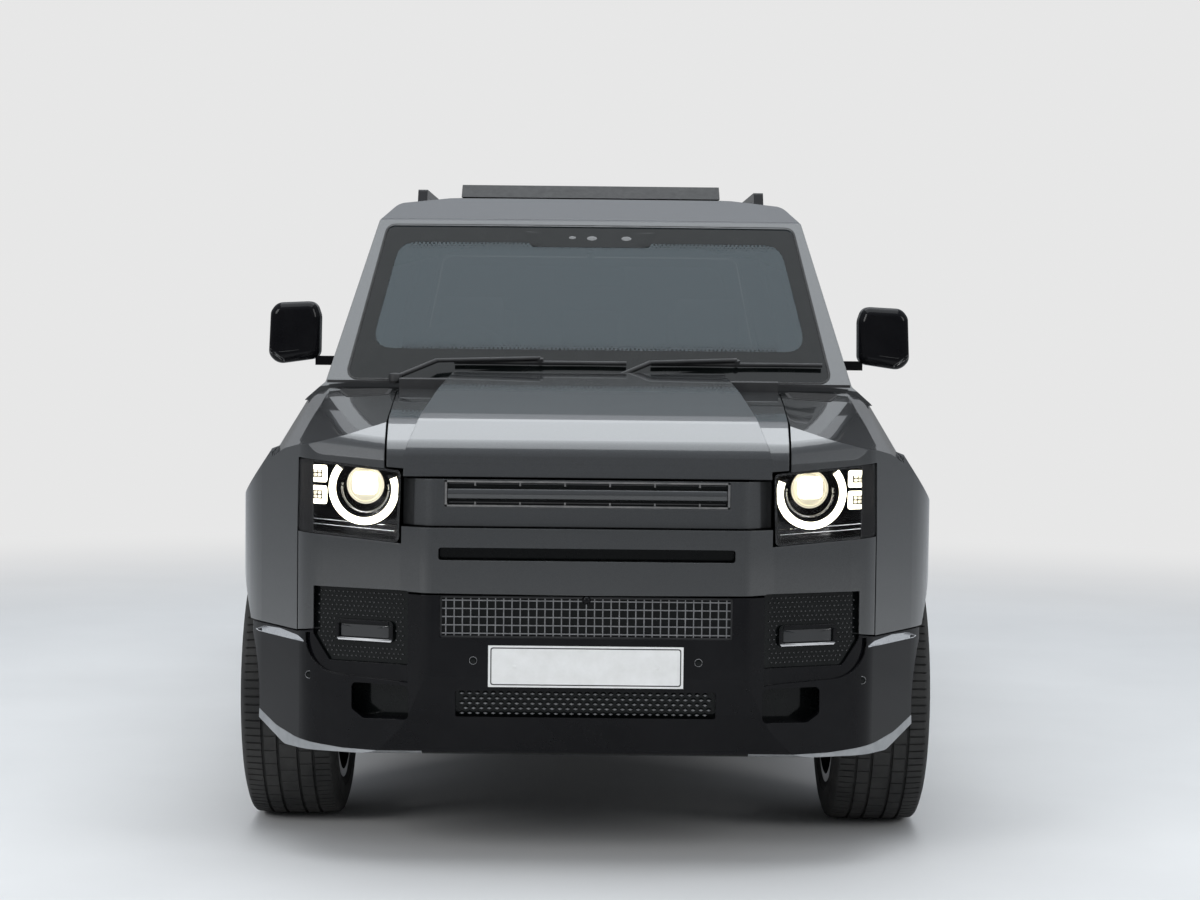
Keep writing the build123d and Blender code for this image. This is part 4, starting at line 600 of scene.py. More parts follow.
for side, word in SIDES:
    arc_rows = []
    for radius, lift in ((77.5, -4), (78.5, 2), (83, 4.5), (88, 5.5), (93, 4.5), (97.5, 2), (98.5, -4)):
        row = []
        for i in range(73):
            turn = math.radians(40 - 241 * i / 72)
            row.append(lamp_place(side * (RING_CENTRE[0] + radius * math.cos(turn)),
                                  RING_CENTRE[1] + radius * math.sin(turn), lift))
        arc_rows.append(row)
    points, faces = loft([list(column) for column in zip(*arc_rows)], closed=False)
    piece(f"headlamp_halo_{word}", points, faces, "glow", "body")
    inner = [lamp_place(side * (PROJECTOR[0] + 66 * math.cos(t)), 1028 + 66 * math.sin(t), -9)
             for t in (math.radians(170 + 200 * i / 48) for i in range(49))]
    tube(f"headlamp_inner_ring_{word}", inner, 3.4, "chrome", "body", 8)
    lens = [[lamp_place(a, b, lift) for a, b in circle(side * PROJECTOR[0], PROJECTOR[1], radius, 40)]
            for radius, lift in ((52, -14), (52, -2), (46, 0), (44, -3), (42, 4), (34, 9), (20, 12), (3, 13))]
    piece(f"headlamp_projector_{word}", *loft(lens), "glow_soft", "body")
    led = sided(rectangle(PROJECTOR[0] - 34, PROJECTOR[0] + 34, 1012, 1072, 18, 2), side)
    patch(f"headlamp_led_{word}", led, lamp_place, 15.0, "glow", "body", sink=-8)
    cubes = [band_rows(sided(rectangle(*cube, 6, 2), side), sided(rectangle(*inset(cube, 12), 3, 2), side),
                       lamp_place, 3.0, 4.0) for cube in CUBES]
    merged(f"headlamp_cubes_{word}", cubes, "glow", "body")
    pixels = []
    for cube in CUBES:
        for column in range(3):
            for row in range(2):
                a = cube[0] + 17 + column * 12.5
                b = cube[2] + 15 + row * 11
                small = rectangle(a, a + 10, b, b + 8, 2, 1, 2)
                pixels.append(patch_rows(sided(small, side), lamp_place, -6.0, 1, 12.0))
    merged(f"headlamp_pixels_{word}", pixels, "glow_soft", "body")
    for low in (914, 928):
        path = [lamp_place(side * x, low + (x - 520) * 0.05, -8) for x in (518, 600, 680, 760)]
        tube(f"headlamp_trim_{low}_{word}", path, 1.6, "chrome", "body", 6)

# Grilles: wire mesh, caps on the comb, and the studs and bar lamps of the pods
nose_skin = skin_of("bumper_lower", "bumper_upper", "nose_panel", "grilles", "fog_lamp_pods")
grille_skin = skin_of("grilles")
pod_skin = skin_of("fog_lamp_pods")


def level_section(x, low, high, d, thick):
    """The four corners of a level bar's section at a place across the nose."""
    return [P(x, d, low), P(x, d, high), P(x, d + thick, high), P(x, d + thick, low)]


def bars(x_values, z, depth_of, half_width, thick):
    """Upright bars between two heights."""
    return [cuboid((x - half_width, x + half_width), (depth_of(x), depth_of(x) + thick), z) for x in x_values]


def level_bars(x, z_values, depth_of, half_high, thick, steps=12):
    """Level bars that follow the nose's bow."""
    xs = [x[0] + (x[1] - x[0]) * i / steps for i in range(steps + 1)]
    return [loft([level_section(value, z - half_high, z + half_high, depth_of(value), thick) for value in xs])
            for z in z_values]


MESH_X = (-386.0, 386.0)
MESH_Z = (641.0, 747.0)
WIRE_PITCH = 22.0
WIRE_HALF = 1.45
MESH_BASE = 12.0
columns = [WIRE_PITCH * (i - 17) for i in range(35)]
rows = [694 + WIRE_PITCH * (i - 2) for i in range(5)]
merged("grille_wire_mesh", bars(columns, MESH_Z, lambda x: MESH_BASE - 0.6, WIRE_HALF, 4.0)
       + level_bars(MESH_X, rows, lambda x: MESH_BASE - 1.4, WIRE_HALF, 4.0), "wire", "body", smooth=0)


STUD_PITCH = 12.4
STUD_HALF = (3.7, 3.3)
STUD_OUT = 3.5
STUD_Z = (566, 752)


def studs(name, x, keep_out):
    """Staggered rows of small raised studs on a pod, none of them at the place of its lamp."""
    parts = []
    for row in range(int((STUD_Z[1] - STUD_Z[0]) / STUD_PITCH)):
        height = STUD_Z[0] + STUD_PITCH * (row + 0.5)
        value = x[0] + STUD_PITCH * (0.5 if row % 2 else 1.0)
        while value < x[1] - STUD_HALF[0]:
            blocked = keep_out[0] < value < keep_out[1] and keep_out[2] < height < keep_out[3]
            d = None if blocked or not in_pod(value, height) else depth_at(pod_skin, value, height)
            if d is not None:
                rim, crown = ([P(value + STUD_HALF[0] * share * math.cos(t), d - lift,
                                 height + STUD_HALF[1] * share * math.sin(t)) for t in turns(6)]
                              for share, lift in ((1.0, -0.5), (0.45, STUD_OUT)))
                parts.append(loft([rim, crown]))
            value += STUD_PITCH
    # The studs take the lighter studs material: partly a painted highlight on each dot.
    return merged(name, parts, "studs", "body", smooth=20)


comb_caps = []
for row in range(5):
    for column in range(32):
        x = (column - 15.5) * 21 + (5.25 if row % 2 else -5.25)
        z = 459 + (row - 2) * 14
        d = depth_at(grille_skin, x, z, 16.0)
        comb_caps.append(loft([[P(x + a * share, d - lift, z + b * share)
                                for a, b in ((-6, 0), (0, -3), (6, 0), (0, 3))]
                               for share, lift in ((1.0, -0.5), (1.0, 0.4), (0.6, 1.2))]))
merged("grille_comb_caps", comb_caps, "wire", "body", smooth=20)

BAR_LAMP = (519.0, 678.0, 614.0, 671.0)


def in_pod(x, z):
    """Whether a place lies well inside the pod's outline."""
    return z < 750 and abs(x) < 732 and (abs(x) - 694) * 65 / 45 - (z - 561) < -12


for side, word in SIDES:
    span = (486.0, 733.0) if side > 0 else (-733.0, -486.0)
    hole = (BAR_LAMP[0] - 5, BAR_LAMP[1] + 5) if side > 0 else (-BAR_LAMP[1] - 5, -BAR_LAMP[0] + 5)
    studs(f"fog_pod_dots_{word}", span, (*hole, BAR_LAMP[2] - 6, BAR_LAMP[3] + 6))
    pod_place = front_place(pod_skin)
    wide, slim, strip, lens = (sided(outline, side) for outline in (
        rectangle(*BAR_LAMP, 12, 6), rectangle(*inset(BAR_LAMP, 8), 5, 6),
        rectangle(BAR_LAMP[0] + 3, BAR_LAMP[1] - 3, BAR_LAMP[2] + 2, BAR_LAMP[2] + 9, 3, 6, 3),
        rectangle(*inset(BAR_LAMP, 12), 4, 6)))
    band(f"fog_lamp_bezel_{word}", wide, slim, pod_place, 1.2, "gloss_black", "body")
    patch(f"fog_lamp_strip_{word}", strip, pod_place, 2.4, "chrome", "body", 1)
    patch(f"fog_lamp_lens_{word}", lens, pod_place, 1.0, "display", "body", 2)

# The upper opening's frame, bar and pins, and a near-black strip behind the slot below it, painted shade
# inside the slot
panel_skin = skin_of("nose_panel", "grilles")
UPPER_X = 381.0
UPPER_Z = (986.0, 1056.0)
face = depth_at(panel_skin, 0, 970, 35.0)
face_of = lambda x: depth_at(panel_skin, x, 975, face)
merged("grille_upper_frame", level_bars((-UPPER_X, UPPER_X), (UPPER_Z[0] + 2.5, UPPER_Z[1] - 2.5),
                                        lambda x: face_of(x) + 1, 2.5, 22.0)
       + bars((-UPPER_X + 3, UPPER_X - 3), UPPER_Z, lambda x: face_of(x) + 1, 3.0, 22.0), "steel", "body")
bar_section = outline_of([(50.0, 1003.4), (35.4, 1007.4), (32.2, 1020.0), (35.4, 1033.6), (50.0, 1037.6)],
                         [0, 5, 8, 5, 0], 1, 3)
bar_rings = [[P(-373 + 746 * i / 24, d, z) for d, z in bar_section] for i in range(25)]
piece("grille_upper_bar", *loft(bar_rings), "paint", "body")
pins = [cuboid((x - 2.2, x + 2.2), (face_of(x) + 6, face_of(x) + 20), (z - 5, z + 5))
        for x in range(-300, 301, 120) for z in (994, 1047)]
merged("grille_upper_pins", pins, "steel", "body")
# A near-black strip 30 mm behind the slot: painted shade inside the slot.
slot_shade_strip = level_bars((-394, 394), (862,), lambda x: depth_at(nose_skin, x, 862, 20.0) + 30.0, 16, 4, 14)
merged("nose_slot_painted_shade", slot_shade_strip, "frit", "body")

# Parking sensors and the camera
for number, (x, z) in enumerate(((-300, 578), (300, 578), (-754, 514), (754, 514))):
    d = depth_at(nose_skin, x, z, 60.0)
    rows = [[P(a, d + ahead, b) for a, b in circle(x, z, radius, 20)] for radius, ahead in (
        (11, 0.5), (11, -1.2), (9, -1.6), (8.4, -0.4), (7.6, -0.4), (7.0, -1.4), (3.0, -1.7))]
    piece(f"parking_sensor_{number + 1}", *loft(rows), "frit", "body")
    ring = [P(a, d - 1.0, b) for a, b in circle(x, z, 10, 28)]
    tube(f"parking_sensor_ring_{number + 1}", ring, 0.9, "wire", "body", 6, closed=True)
rows = [[P(a, MESH_BASE + ahead, b) for a, b in circle(0, 742, radius, 20)]
        for radius, ahead in ((12, 4), (12, -4), (9, -9), (5, -11.5), (1, -12.5))]
piece("nose_camera", *loft(rows), "gloss_black", "body")

# Silver reflectors at the bumper's corners
front_skin_place = front_place(skin_of("bumper_lower"))
for side, word in SIDES:
    wedge = outline_of([(772, 602), (925, 602), (937, 606), (905, 621), (850, 625), (790, 617), (771, 606)],
                       [2, 2, 2, 30, 60, 30, 3], 4, 3)
    tip = outline_of([(912, 604), (928, 604), (930, 607), (914, 612)], 1, 2, 2)
    patch(f"bumper_reflector_{word}", sided(wedge, side), front_skin_place, 2.2, "reflector", "body", 3)
    patch(f"bumper_reflector_tip_{word}", sided(tip, side), front_skin_place, 3.0, "gloss_black", "body", 1)

# Number plates: a thin border on the blank face and two fixing caps
for word, low, d, sense in (("front", 508.0, 0.3, -1), ("rear", 490.0, 4760.7, 1)):
    plate_place = lambda x, z, lift: P(x, d + sense * lift, z)
    edge = (-254, 254, low + 5, low + 106)
    band(f"number_plate_border_{word}", rectangle(*edge, 8, 2), rectangle(*inset(edge, 3), 6, 2), plate_place,
         0.2, "rubber", "body", 0.3)
    caps = [patch_rows(circle(x, low + 55.5, 7, 20), plate_place, 0.25, 1, 0.3) for x in (-190, 190)]
    merged(f"number_plate_caps_{word}", caps, "plate", "body")

# Windscreen: printed border, sensor housing, gasket and the inner mirror
screen_skin = skin_of("windscreen")
screen_middle = depth_at(screen_skin, 0, 1550)
screen_rake = (depth_at(screen_skin, 0, 1750) - depth_at(screen_skin, 0, 1350)) / 400
screen_bow = (depth_at(screen_skin, 680, 1550) - screen_middle) / 680 ** 2


def screen_place(x, z, lift):
    """A place on the windscreen, lifted ahead of it."""
    return P(x, screen_middle + screen_bow * x * x + (z - 1550) * screen_rake - lift, z)


glass_edge = outline_of([(-781, 1296), (781, 1296), (683, 1804), (-683, 1804)], [30, 30, 34, 34], 14)
clear_edge = outline_of([(-712, 1395), (712, 1395), (641, 1752), (-641, 1752)], [60, 60, 70, 70], 14)
band("windscreen_border", glass_edge, clear_edge, screen_place, 0.8, "frit", "body", -0.2)
sensor = outline_of([(-200, 1737), (200, 1737), (222, 1790), (-222, 1790)], [26, 26, 2, 2], 8)
patch("windscreen_sensor_panel", sensor, screen_place, 1.1, "frit", "body", 4, 0.0)
dots = []
for k in range(-45, 46):
    for row, size in ((0, 3.4), (1, 2.4), (2, 1.5)):
        x = k * 13.5 + (row % 2) * 6.75
        if abs(x) < 640:
            rim = circle(x, 1748 - row * 8, size, 8)
            dots.append(patch_rows(rim, screen_place, 0.7, 1, 0.0))
            low = [(a, b + 1399 - 1748 + row * 16) for a, b in rim]
            dots.append(patch_rows(low, screen_place, 0.7, 1, 0.0))
merged("windscreen_border_dots", dots, "frit", "body")
eyes = [patch_rows([(x + size * 1.3 * math.cos(t), z + size * 0.6 * math.sin(t)) for t in turns(20)],
                   screen_place, 1.8, 2, 0.0)
        for x, z, size in ((-60, 1770, 9), (6, 1768, 13), (122, 1768, 13))]
merged("windscreen_sensor_eyes", eyes, "studs", "body")
gasket = outline_of([(-786, 1292), (786, 1292), (687, 1809), (-687, 1809)], [34, 34, 36, 36], 14)
tube("windscreen_gasket", [screen_place(x, z, -2.0) for x, z in gasket], 6.5, "rubber", "body", 8,
     closed=True)
inner_mirror = []
for share, ahead in ((0.90, 38), (1.0, 30), (1.0, 12), (0.96, 4)):
    outline = rectangle(-118 * share, 118 * share, 1640 - 34 * share, 1640 + 34 * share, 26, 3)
    inner_mirror.append([screen_place(x, 1640, -150 + ahead) + Vector((0, 0, (z - 1640) / 1000))
                         for x, z in outline])
piece("inner_mirror_housing", *loft(inner_mirror), "trim", "body")
stalk = [screen_place(0, 1722, -6), screen_place(0, 1690, -60), screen_place(0, 1655, -128)]
tube("inner_mirror_stalk", stalk, 11, "trim", "body", 12)

# Ribbed rubber pads on the wings beside the bonnet's rear corners
wing_top = top_place(skin_of("front_wings"))
for side, word in SIDES:
    edge = outline_of([(622, 1104), (752, 1104), (800, 1294), (626, 1294)], [10, 24, 20, 10], 6)
    ribs = []
    for k in range(9):
        d = 1120 + k * 20
        right = 745 + (d - 1104) * 48 / 190
        ribs.append(outline_of([(634, d), (right, d), (right + 2, d + 11), (634, d + 11)], 3, 5, 2))
    patch(f"wing_pad_{word}", sided(edge, side), wing_top, 2.0, "pad_rubber", "body", 4)
    merged(f"wing_pad_ribs_{word}", [patch_rows(sided(rib, side), wing_top, 3.6, 1) for rib in ribs],
           "pad_rubber", "body")

# Scuttle: rows of air slots and caps on the wiper pivots
scuttle_top = top_place(skin_of("scuttle_panel"))
slots = []
for k in range(-38, 39):
    x = k * 14.5
    if 560 < abs(x) or abs(abs(x - 276) - 344) < 30:
        continue
    slots.append(patch_rows(rectangle(x - 4, x + 4, 1312, 1332, 2, 1, 2), scuttle_top, 2.2, 1))
merged("scuttle_slots", slots, "rubber", "body")
for number, x in enumerate((-620.0, 68.0)):
    rows = [[P(a, b, z) for a, b in circle(x, 1322, r, 28)]
            for r, z in ((21, 1290), (21, 1308), (19, 1313), (12, 1316), (1, 1317))]
    piece(f"wiper_pivot_cap_{number + 1}", *loft(rows), "black_plastic", "body")

# Tyres with grooves and sipes, in place of the plain packed ones
SIDE_ROWS = [(119.5, 286.0), (121.0, 297.0), (127.5, 306.0), (132.0, 313.0), (132.6, 318.0), (134.6, 319.5),
             (136.4, 333.0), (137.2, 347.0), (136.4, 360.0), (135.8, 366.0), (134.0, 367.0), (133.0, 373.0),
             (130.6, 383.0), (127.0, 391.0), (121.5, 396.6)]
RIB_EDGES = [(116.0, 76.5, 5.0, 3), (67.5, 33.0, 3.6, 1), (24.0, -24.0, 2.6, 2), (-33.0, -67.5, 3.6, 1),
             (-76.5, -116.0, 5.0, 3)]
GROOVE_DEEP = 8.0
PITCHES = 54
PITCH_STEPS = (0.0, 0.025, 0.095, 0.12, 0.5, 0.525, 0.595, 0.62)


def crown(w):
    """The tread's radius at a place across it."""
    return 402.7 - 5.0 * abs(w / 118.0) ** 3


def tyre_piece(name, centre, across, body):
    """A road tyre round a centre, with the axle's direction given."""
    profile = [(w, r, 0.0, 0) for w, r in SIDE_ROWS]
    for number, (start, stop, deep, which) in enumerate(RIB_EDGES):
        for share in (0.0, 0.04, 0.5, 0.96, 1.0):
            w = start + (stop - start) * share
            profile.append((w, crown(w), deep if 0 < share < 1 else deep * 0.6, which))
        if number < len(RIB_EDGES) - 1:
            following = RIB_EDGES[number + 1][0]
            sense = math.copysign(1.5, following - stop)
            profile.append((stop + sense, crown(stop) - GROOVE_DEEP, 0.0, 0))
            profile.append((following - sense, crown(following) - GROOVE_DEEP, 0.0, 0))
    profile += [(-w, r, 0.0, 0) for w, r in reversed(SIDE_ROWS)]
    profile += [(-60.0, 286.0, 0.0, 0), (60.0, 286.0, 0.0, 0)]
    rings = []
    for pitch in range(PITCHES):
        for index, step in enumerate(PITCH_STEPS):
            out = round_axle(across, 2 * math.pi * (pitch + step) / PITCHES)
            first, second = index in (1, 2), index in (5, 6)
            ring = []
            for w, r, deep, which in profile:
                cut = (which & 1 and first) or (which & 2 and second)
                ring.append(centre + (across * w + out * (r - (deep if cut else 0.0))) / 1000)
            rings.append(ring)
    rings.append(rings[0])
    points, faces = loft(rings, caps=False)
    return piece(name, points, faces, "tyre", body, smooth=32)


ACROSS = Vector((1, 0, 0))
BACKWARDS = Vector((0, 1, 0))
UP = Vector((0, 0, 1))
wheel_places = [(f"{end}_{word}", P(852 * side, d, AXLE_Z), ACROSS * side, f"wheel_{end}_{word}")
                for end, d in (("front", FRONT_AXLE), ("rear", REAR_AXLE)) for side, word in SIDES]
wheel_places.append(("spare", P(-28, 5018 - 137.5, 1062), BACKWARDS, "tailgate"))


def round_axle(across, turn):
    """The direction out from an axle at some turn round it."""
    return UP * math.cos(turn) + across.cross(UP) * math.sin(turn)


def turned(centre, across, sides, profile):
    """Circles of points round an axle, from pairs of a radius and a place along it."""
    return [[centre + (across * along + round_axle(across, t) * radius) / 1000 for t in turns(sides)]
            for radius, along in profile]


def turned_piece(name, centre, across, sides, profile, material, body):
    """A ring turned round an axle, whose section is a closed profile."""
    rows = turned(centre, across, sides, profile)
    return piece(name, *loft(rows + rows[:1], caps=False), material, body)


for word, centre, across, body in wheel_places:
    node = "spare_tyre" if word == "spare" else f"tyre_{word}"
    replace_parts(tyre_piece(f"{node}_treaded", centre, across, body), node)
    nuts = []
    for k in range(5):
        spot = centre + round_axle(across, 2 * math.pi * (k + 0.5) / 5) * 0.052
        nuts.append(loft(turned(spot, across, 6, ((13.5, 98), (13.5, 112), (11.5, 115), (4.0, 116.5)))))
        nuts.append(loft(turned(spot, across, 20, ((17, 98), (17, 105.5), (14.5, 106.5)))))
    merged(f"wheel_nuts_{word}", nuts, "steel", body)
    cap = ((31, 100), (31, 111), (29, 114), (26, 114), (25, 112), (12, 113.5), (1, 114))
    piece(f"wheel_cap_{word}", *loft(turned(centre, across, 36, cap)), "gloss_black", body)
    lip = ((293.5, 120), (294.5, 127), (290, 127.4), (284, 123), (278, 118), (271.5, 112), (270.8, 70),
           (273, 70))
    turned_piece(f"wheel_lip_{word}", centre, across, 96, lip, "rim", body)
    spot = centre + round_axle(across, 0.63) * 0.262
    valve = turned(spot, across, 12, ((5.5, 70), (5.5, 88), (4.2, 90), (4.2, 104), (3.4, 106)))
    piece(f"tyre_valve_{word}", *loft(valve), "rubber", body)
    if word != "spare":
        # Dark rubber discs in the drilled holes of the brake disc: painted shade where the holes go through.
        hole_shades = []
        for ring_radius, count in ((112, 24), (136, 30), (160, 36)):
            for turn in turns(count):
                spot = centre + round_axle(across, turn) * ring_radius / 1000
                hole_shades.append(loft(turned(spot, across, 8, ((4.2, 43.2), (4.2, 44.4)))))
        merged(f"brake_disc_hole_shade_{word}", hole_shades, "rubber", body)
        turned_piece(f"brake_disc_face_{word}", centre, across, 72,
                     ((179, 43.6), (179.6, 44.2), (100, 44.2), (99, 43.6)), "steel", body)

# Door mirrors: glass with its surround, a lamp and a seam
for side, word in SIDES:
    body = f"door_front_{word}"
    shell = skin_of(f"mirror_{word}")
    behind = rear_place(shell)
    glass = outline_of([(906, 1372), (1020, 1358), (1036, 1380), (1032, 1504), (1014, 1524), (908, 1530)],
                       [18, 16, 12, 12, 16, 20], 4)
    surround = outline_of([(896, 1364), (1024, 1349), (1043, 1374), (1038, 1508), (1019, 1532), (897, 1538)],
                          [22, 20, 16, 16, 20, 26], 4)
    lamp = outline_of([(1000, 1346), (1048, 1378), (1049, 1392), (996, 1352)], [2, 6, 3, 2], 3, 3)
    glass, surround, lamp = (sided(outline, side) for outline in (glass, surround, lamp))
    band(f"mirror_surround_{word}", surround, glass, behind, 0.8, "black_plastic", body)
    patch(f"mirror_glass_{word}", glass, behind, 0.4, "mirror_glass", body, 2)
    mirror_front = front_place(shell)
    patch(f"mirror_lamp_{word}", lamp, mirror_front, 1.4, "lamp_body", body, 1)
    seam = ((893, 1392), (960, 1384), (1010, 1378), (1040, 1384))
    tube(f"mirror_seam_{word}", [mirror_front(side * x, z, 0.2) for x, z in seam], 1.1, "rubber", body, 6)

# Window surrounds and seals, black pillars, cladding and details on the flanks
LEAN_RUN = 368.5
WINDOWS = {"door_front": [(1564, 1304), (1564 + LEAN_RUN, 1752), (2439, 1752), (2439, 1304)],
           "door_rear": [(2555, 1304), (2555, 1752), (3403, 1752), (3403, 1304)],
           "quarter": [(3519, 1304), (3519, 1752), (4477, 1752), (4532, 1304)]}
GROWN = {"door_front": [(1540, 1292), (1560 + LEAN_RUN, 1764), (2451, 1764), (2451, 1292)],
         "door_rear": [(2543, 1292), (2543, 1764), (3415, 1764), (3415, 1292)],
         "quarter": [(3507, 1292), (3507, 1764), (4487, 1764), (4546, 1292)]}
PILLARS = {"door_front": (2451, 2492), "door_rear": (2502, 2543)}
for side, word in SIDES:
    for window, outline in WINDOWS.items():
        node = "body_shell" if window == "quarter" else f"{window}_{word}"
        body = "body" if window == "quarter" else f"{window}_{word}"
        place = side_place(skin_of(node), side)
        wide = outline_of(GROWN[window], 36, 10)
        slim = outline_of(outline, 28, 10)
        band(f"{window}_window_surround_{word}", wide, slim, place, 1.2, "gloss_black", body, 2.0)
        seal = [place(a, b, -1.5) for a, b in outline_of(outline, 27, 10)]
        tube(f"{window}_window_seal_{word}", seal, 3.6, "rubber", body, 6, closed=True)
        if window in PILLARS:
            low, high = PILLARS[window]
            cover = rectangle(low, high, 1296, 1766, 4, 6, 2)
            patch(f"{window}_pillar_cover_{word}", cover, place, 1.3, "gloss_black", body, 1)
    shell_side = side_place(skin_of("body_shell"), side)
    door_side = side_place(skin_of(f"door_rear_{word}"), side)
    for name, low, high, place, body in (("door_rear_back", 3415, 3456, door_side, f"door_rear_{word}"),
                                         ("quarter_front", 3466, 3507, shell_side, "body")):
        cover = rectangle(low, high, 1296, 1766, 4, 6, 2)
        patch(f"{name}_cover_{word}", cover, place, 1.3, "gloss_black", body, 1)
    for door, span, sill, handle_rear in (
            ("door_front", (1492, 2486), [(1492, 480), (2486, 480), (2486, 560), (1492, 560)], 2448),
            ("door_rear", (2508, 3300), [(2508, 480), (3352, 480), (3376, 552), (2508, 552)], 3412)):
        body = f"{door}_{word}"
        place = side_place(skin_of(body), side)
        patch(f"{door}_cladding_{word}", outline_of(sill, 12, 10), place, 3.2, "black_plastic", body, 3)
        groove = [place(d, 574, -0.2) for d in range(span[0] + 10, span[1] - 60, 60)]
        tube(f"{door}_crease_{word}", groove, 1.2, "paint", body, 6)
        keep = (handle_rear - 240, handle_rear + 14, 978, 1030)
        grip = rectangle(handle_rear - 213, handle_rear - 2, 988, 1020, 12, 6)
        band(f"{door}_handle_gasket_{word}", rectangle(*keep, 16, 6), rectangle(*inset(keep, 4), 14, 6),
             place, 0.9, "rubber", body)
        patch(f"{door}_handle_face_{word}", grip, place, 0.9, "gloss_black", body, 2)
    vent = outline_of([(1330, 1040), (1440, 1040), (1440, 1108), (1352, 1108)], 8, 4)
    wing_place = side_place(skin_of("front_wings"), side)
    patch(f"wing_vent_{word}", vent, wing_place, 2.0, "gloss_black", "body", 3)
    slots = [outline_of([(1352 + k * 3, 1050 + k * 17), (1432, 1050 + k * 17), (1432, 1059 + k * 17),
                         (1354 + k * 3, 1059 + k * 17)], 4, 3, 3) for k in range(3)]
    merged(f"wing_vent_slots_{word}", [patch_rows(slot, wing_place, 3.6, 1) for slot in slots], "rubber",
           "body")
    if side < 0:
        flap = (4180, 4330, 1040, 1190)
        band("fuel_flap_gap", rectangle(*flap, 26, 6), rectangle(*inset(flap, 3), 24, 6), shell_side, 0.25,
             "rubber", "body")

# Tail: lamps, handle, high lamp, wiper, bumper details
tail_place = rear_place(skin_of("tail_lamps"))
gate_place = rear_place(skin_of("tailgate"))
gate_glass_place = rear_place(skin_of("tailgate_glass"))
bumper_rear_place = rear_place(skin_of("rear_bumper"))
for side, word in SIDES:
    for number, (low, high) in enumerate(((1030, 1140), (1180, 1290))):
        edge = (808, 872, low + 4, high - 4)
        frame_out, frame_in, lens = (sided(outline, side) for outline in (
            rectangle(*edge, 8, 4), rectangle(*inset(edge, 9), 5, 4), rectangle(*inset(edge, 16), 4, 4)))
        band(f"tail_lamp_ring_{word}_{number + 1}", frame_out, frame_in, tail_place, 1.4, "lamp_red", "body")
        patch(f"tail_lamp_lens_{word}_{number + 1}", lens, tail_place, 1.8,
              "reflector" if number == 0 else "amber", "body", 2)
    strip = sided(rectangle(700, 840, 566, 586, 5, 5, 3), side)
    patch(f"rear_bumper_reflector_{word}", strip, bumper_rear_place, 1.8, "lamp_red", "body", 2)
    finisher = sided(outline_of([(520, 424), (700, 424), (690, 466), (530, 466)], 10, 5), side)
    patch(f"rear_bumper_finisher_{word}", finisher, bumper_rear_place, 1.6, "black_plastic", "body", 2)
    for number, x in enumerate((360, 690)):
        patch(f"rear_sensor_{word}_{number + 1}", circle(side * x, 612, 11, 20), bumper_rear_place, 1.2,
              "black_plastic", "body", 1)
seam = [bumper_rear_place(x, 600, 0.2) for x in range(-820, 821, 40)]
tube("rear_bumper_seam", seam, 1.4, "rubber", "body", 6)
for name, outline, lift, material in (
        ("handle_plate", rectangle(600, 710, 1010, 1070, 14, 4), 2.2, "black_plastic"),
        ("handle", rectangle(612, 698, 1022, 1042, 8, 4), 9.0, "gloss_black"),
        ("high_lamp", rectangle(-110, 110, 1762, 1776, 5, 6, 3), 3.0, "lamp_red")):
    patch(f"tailgate_{name}", outline, gate_place, lift, material, "tailgate", 2)
glass_frame = outline_of([(-700, 1314), (700, 1314), (602, 1762), (-602, 1762)], 70, 10)
glass_hole = outline_of([(-690, 1324), (690, 1324), (592, 1752), (-592, 1752)], 60, 10)
band("tailgate_window_surround", glass_frame, glass_hole, gate_place, 1.2, "gloss_black", "tailgate", 3.0)
lower_trim = rectangle(-740, 740, 684, 716, 8, 10, 3)
patch("tailgate_lower_trim", lower_trim, gate_place, 2.0, "black_plastic", "tailgate", 2)
arm = [gate_glass_place(x, z, 16) for x, z in ((-420, 1352), (-300, 1372), (-120, 1396), (40, 1402))]
tube("tailgate_wiper_arm", arm, 6.0, "black_plastic", "tailgate", 8)
blade = [gate_glass_place(x, z, 8) for x, z in ((-180, 1386), (-40, 1400), (110, 1404), (230, 1398))]
tube("tailgate_wiper_blade", blade, 5.0, "rubber", "tailgate", 8)
rows = [[gate_place(a, b, lift) for a, b in circle(-420, 1310, r, 24)]
        for r, lift in ((26, -1), (26, 14), (22, 20), (2, 21))]
piece("tailgate_wiper_pivot", *loft(rows), "black_plastic", "tailgate")
tube("tailgate_wiper_foot", [gate_place(-420, 1312, 12), gate_glass_place(-420, 1354, 16)], 7.0,
     "black_plastic", "tailgate", 8)
for number, z in enumerate((800, 1180)):
    knuckles = []
    for k in range(3):
        low = z + k * 34
        knuckles.append(loft([[P(a, b, height) for a, b in circle(-778, 4702, r, 16)]
                              for r, height in ((11, low), (13, low + 2), (13, low + 28), (11, low + 30))]))
    merged(f"tailgate_hinge_cover_{number + 1}", knuckles, "paint", "body")

# Roof: aerial, ditch strips and caps on the rails
roof_top = top_place(skin_of("roof_panel", "body_shell"))
for side, word in SIDES:
    strip = [roof_top(side * (668 if d > 2250 else 655), d, 0.0) for d in range(2180, 4560, 80)]
    tube(f"roof_ditch_strip_{word}", strip, 5.0, "rubber", "body", 8, flat=0.6)
    for number, (start, stop) in enumerate(((2386, 2470), (4450, 4534))):
        foot = sided(rectangle(592, 632, start, stop, 12, 4), side)
        patch(f"roof_rail_foot_{word}_{number + 1}", foot, roof_top, 4.0, "black_plastic", "body", 2)
fin = []
fin_base = roof_top(300, 4300, 0).z * 1000 - 2
for share, height in ((1.0, 0.0), (0.92, 6.0), (0.72, 17.0), (0.46, 29.0), (0.26, 36.0)):
    length = 62 * share
    fin.append([P(300 + 17 * share * math.sin(t), 4300 + (62 - length) * 0.9 + length * math.cos(t),
                  fin_base + height) for t in turns(20)])
piece("roof_aerial", *loft(fin), "gloss_black", "body")
ribs = [cuboid((x - 2, x + 2), (2200, 2203), (1940, 1966)) for x in (-440 + k * 35.2 for k in range(26))]
merged("deflector_ribs", ribs, "black_plastic", "body")

# Inside: seats as swollen pads
pads = []


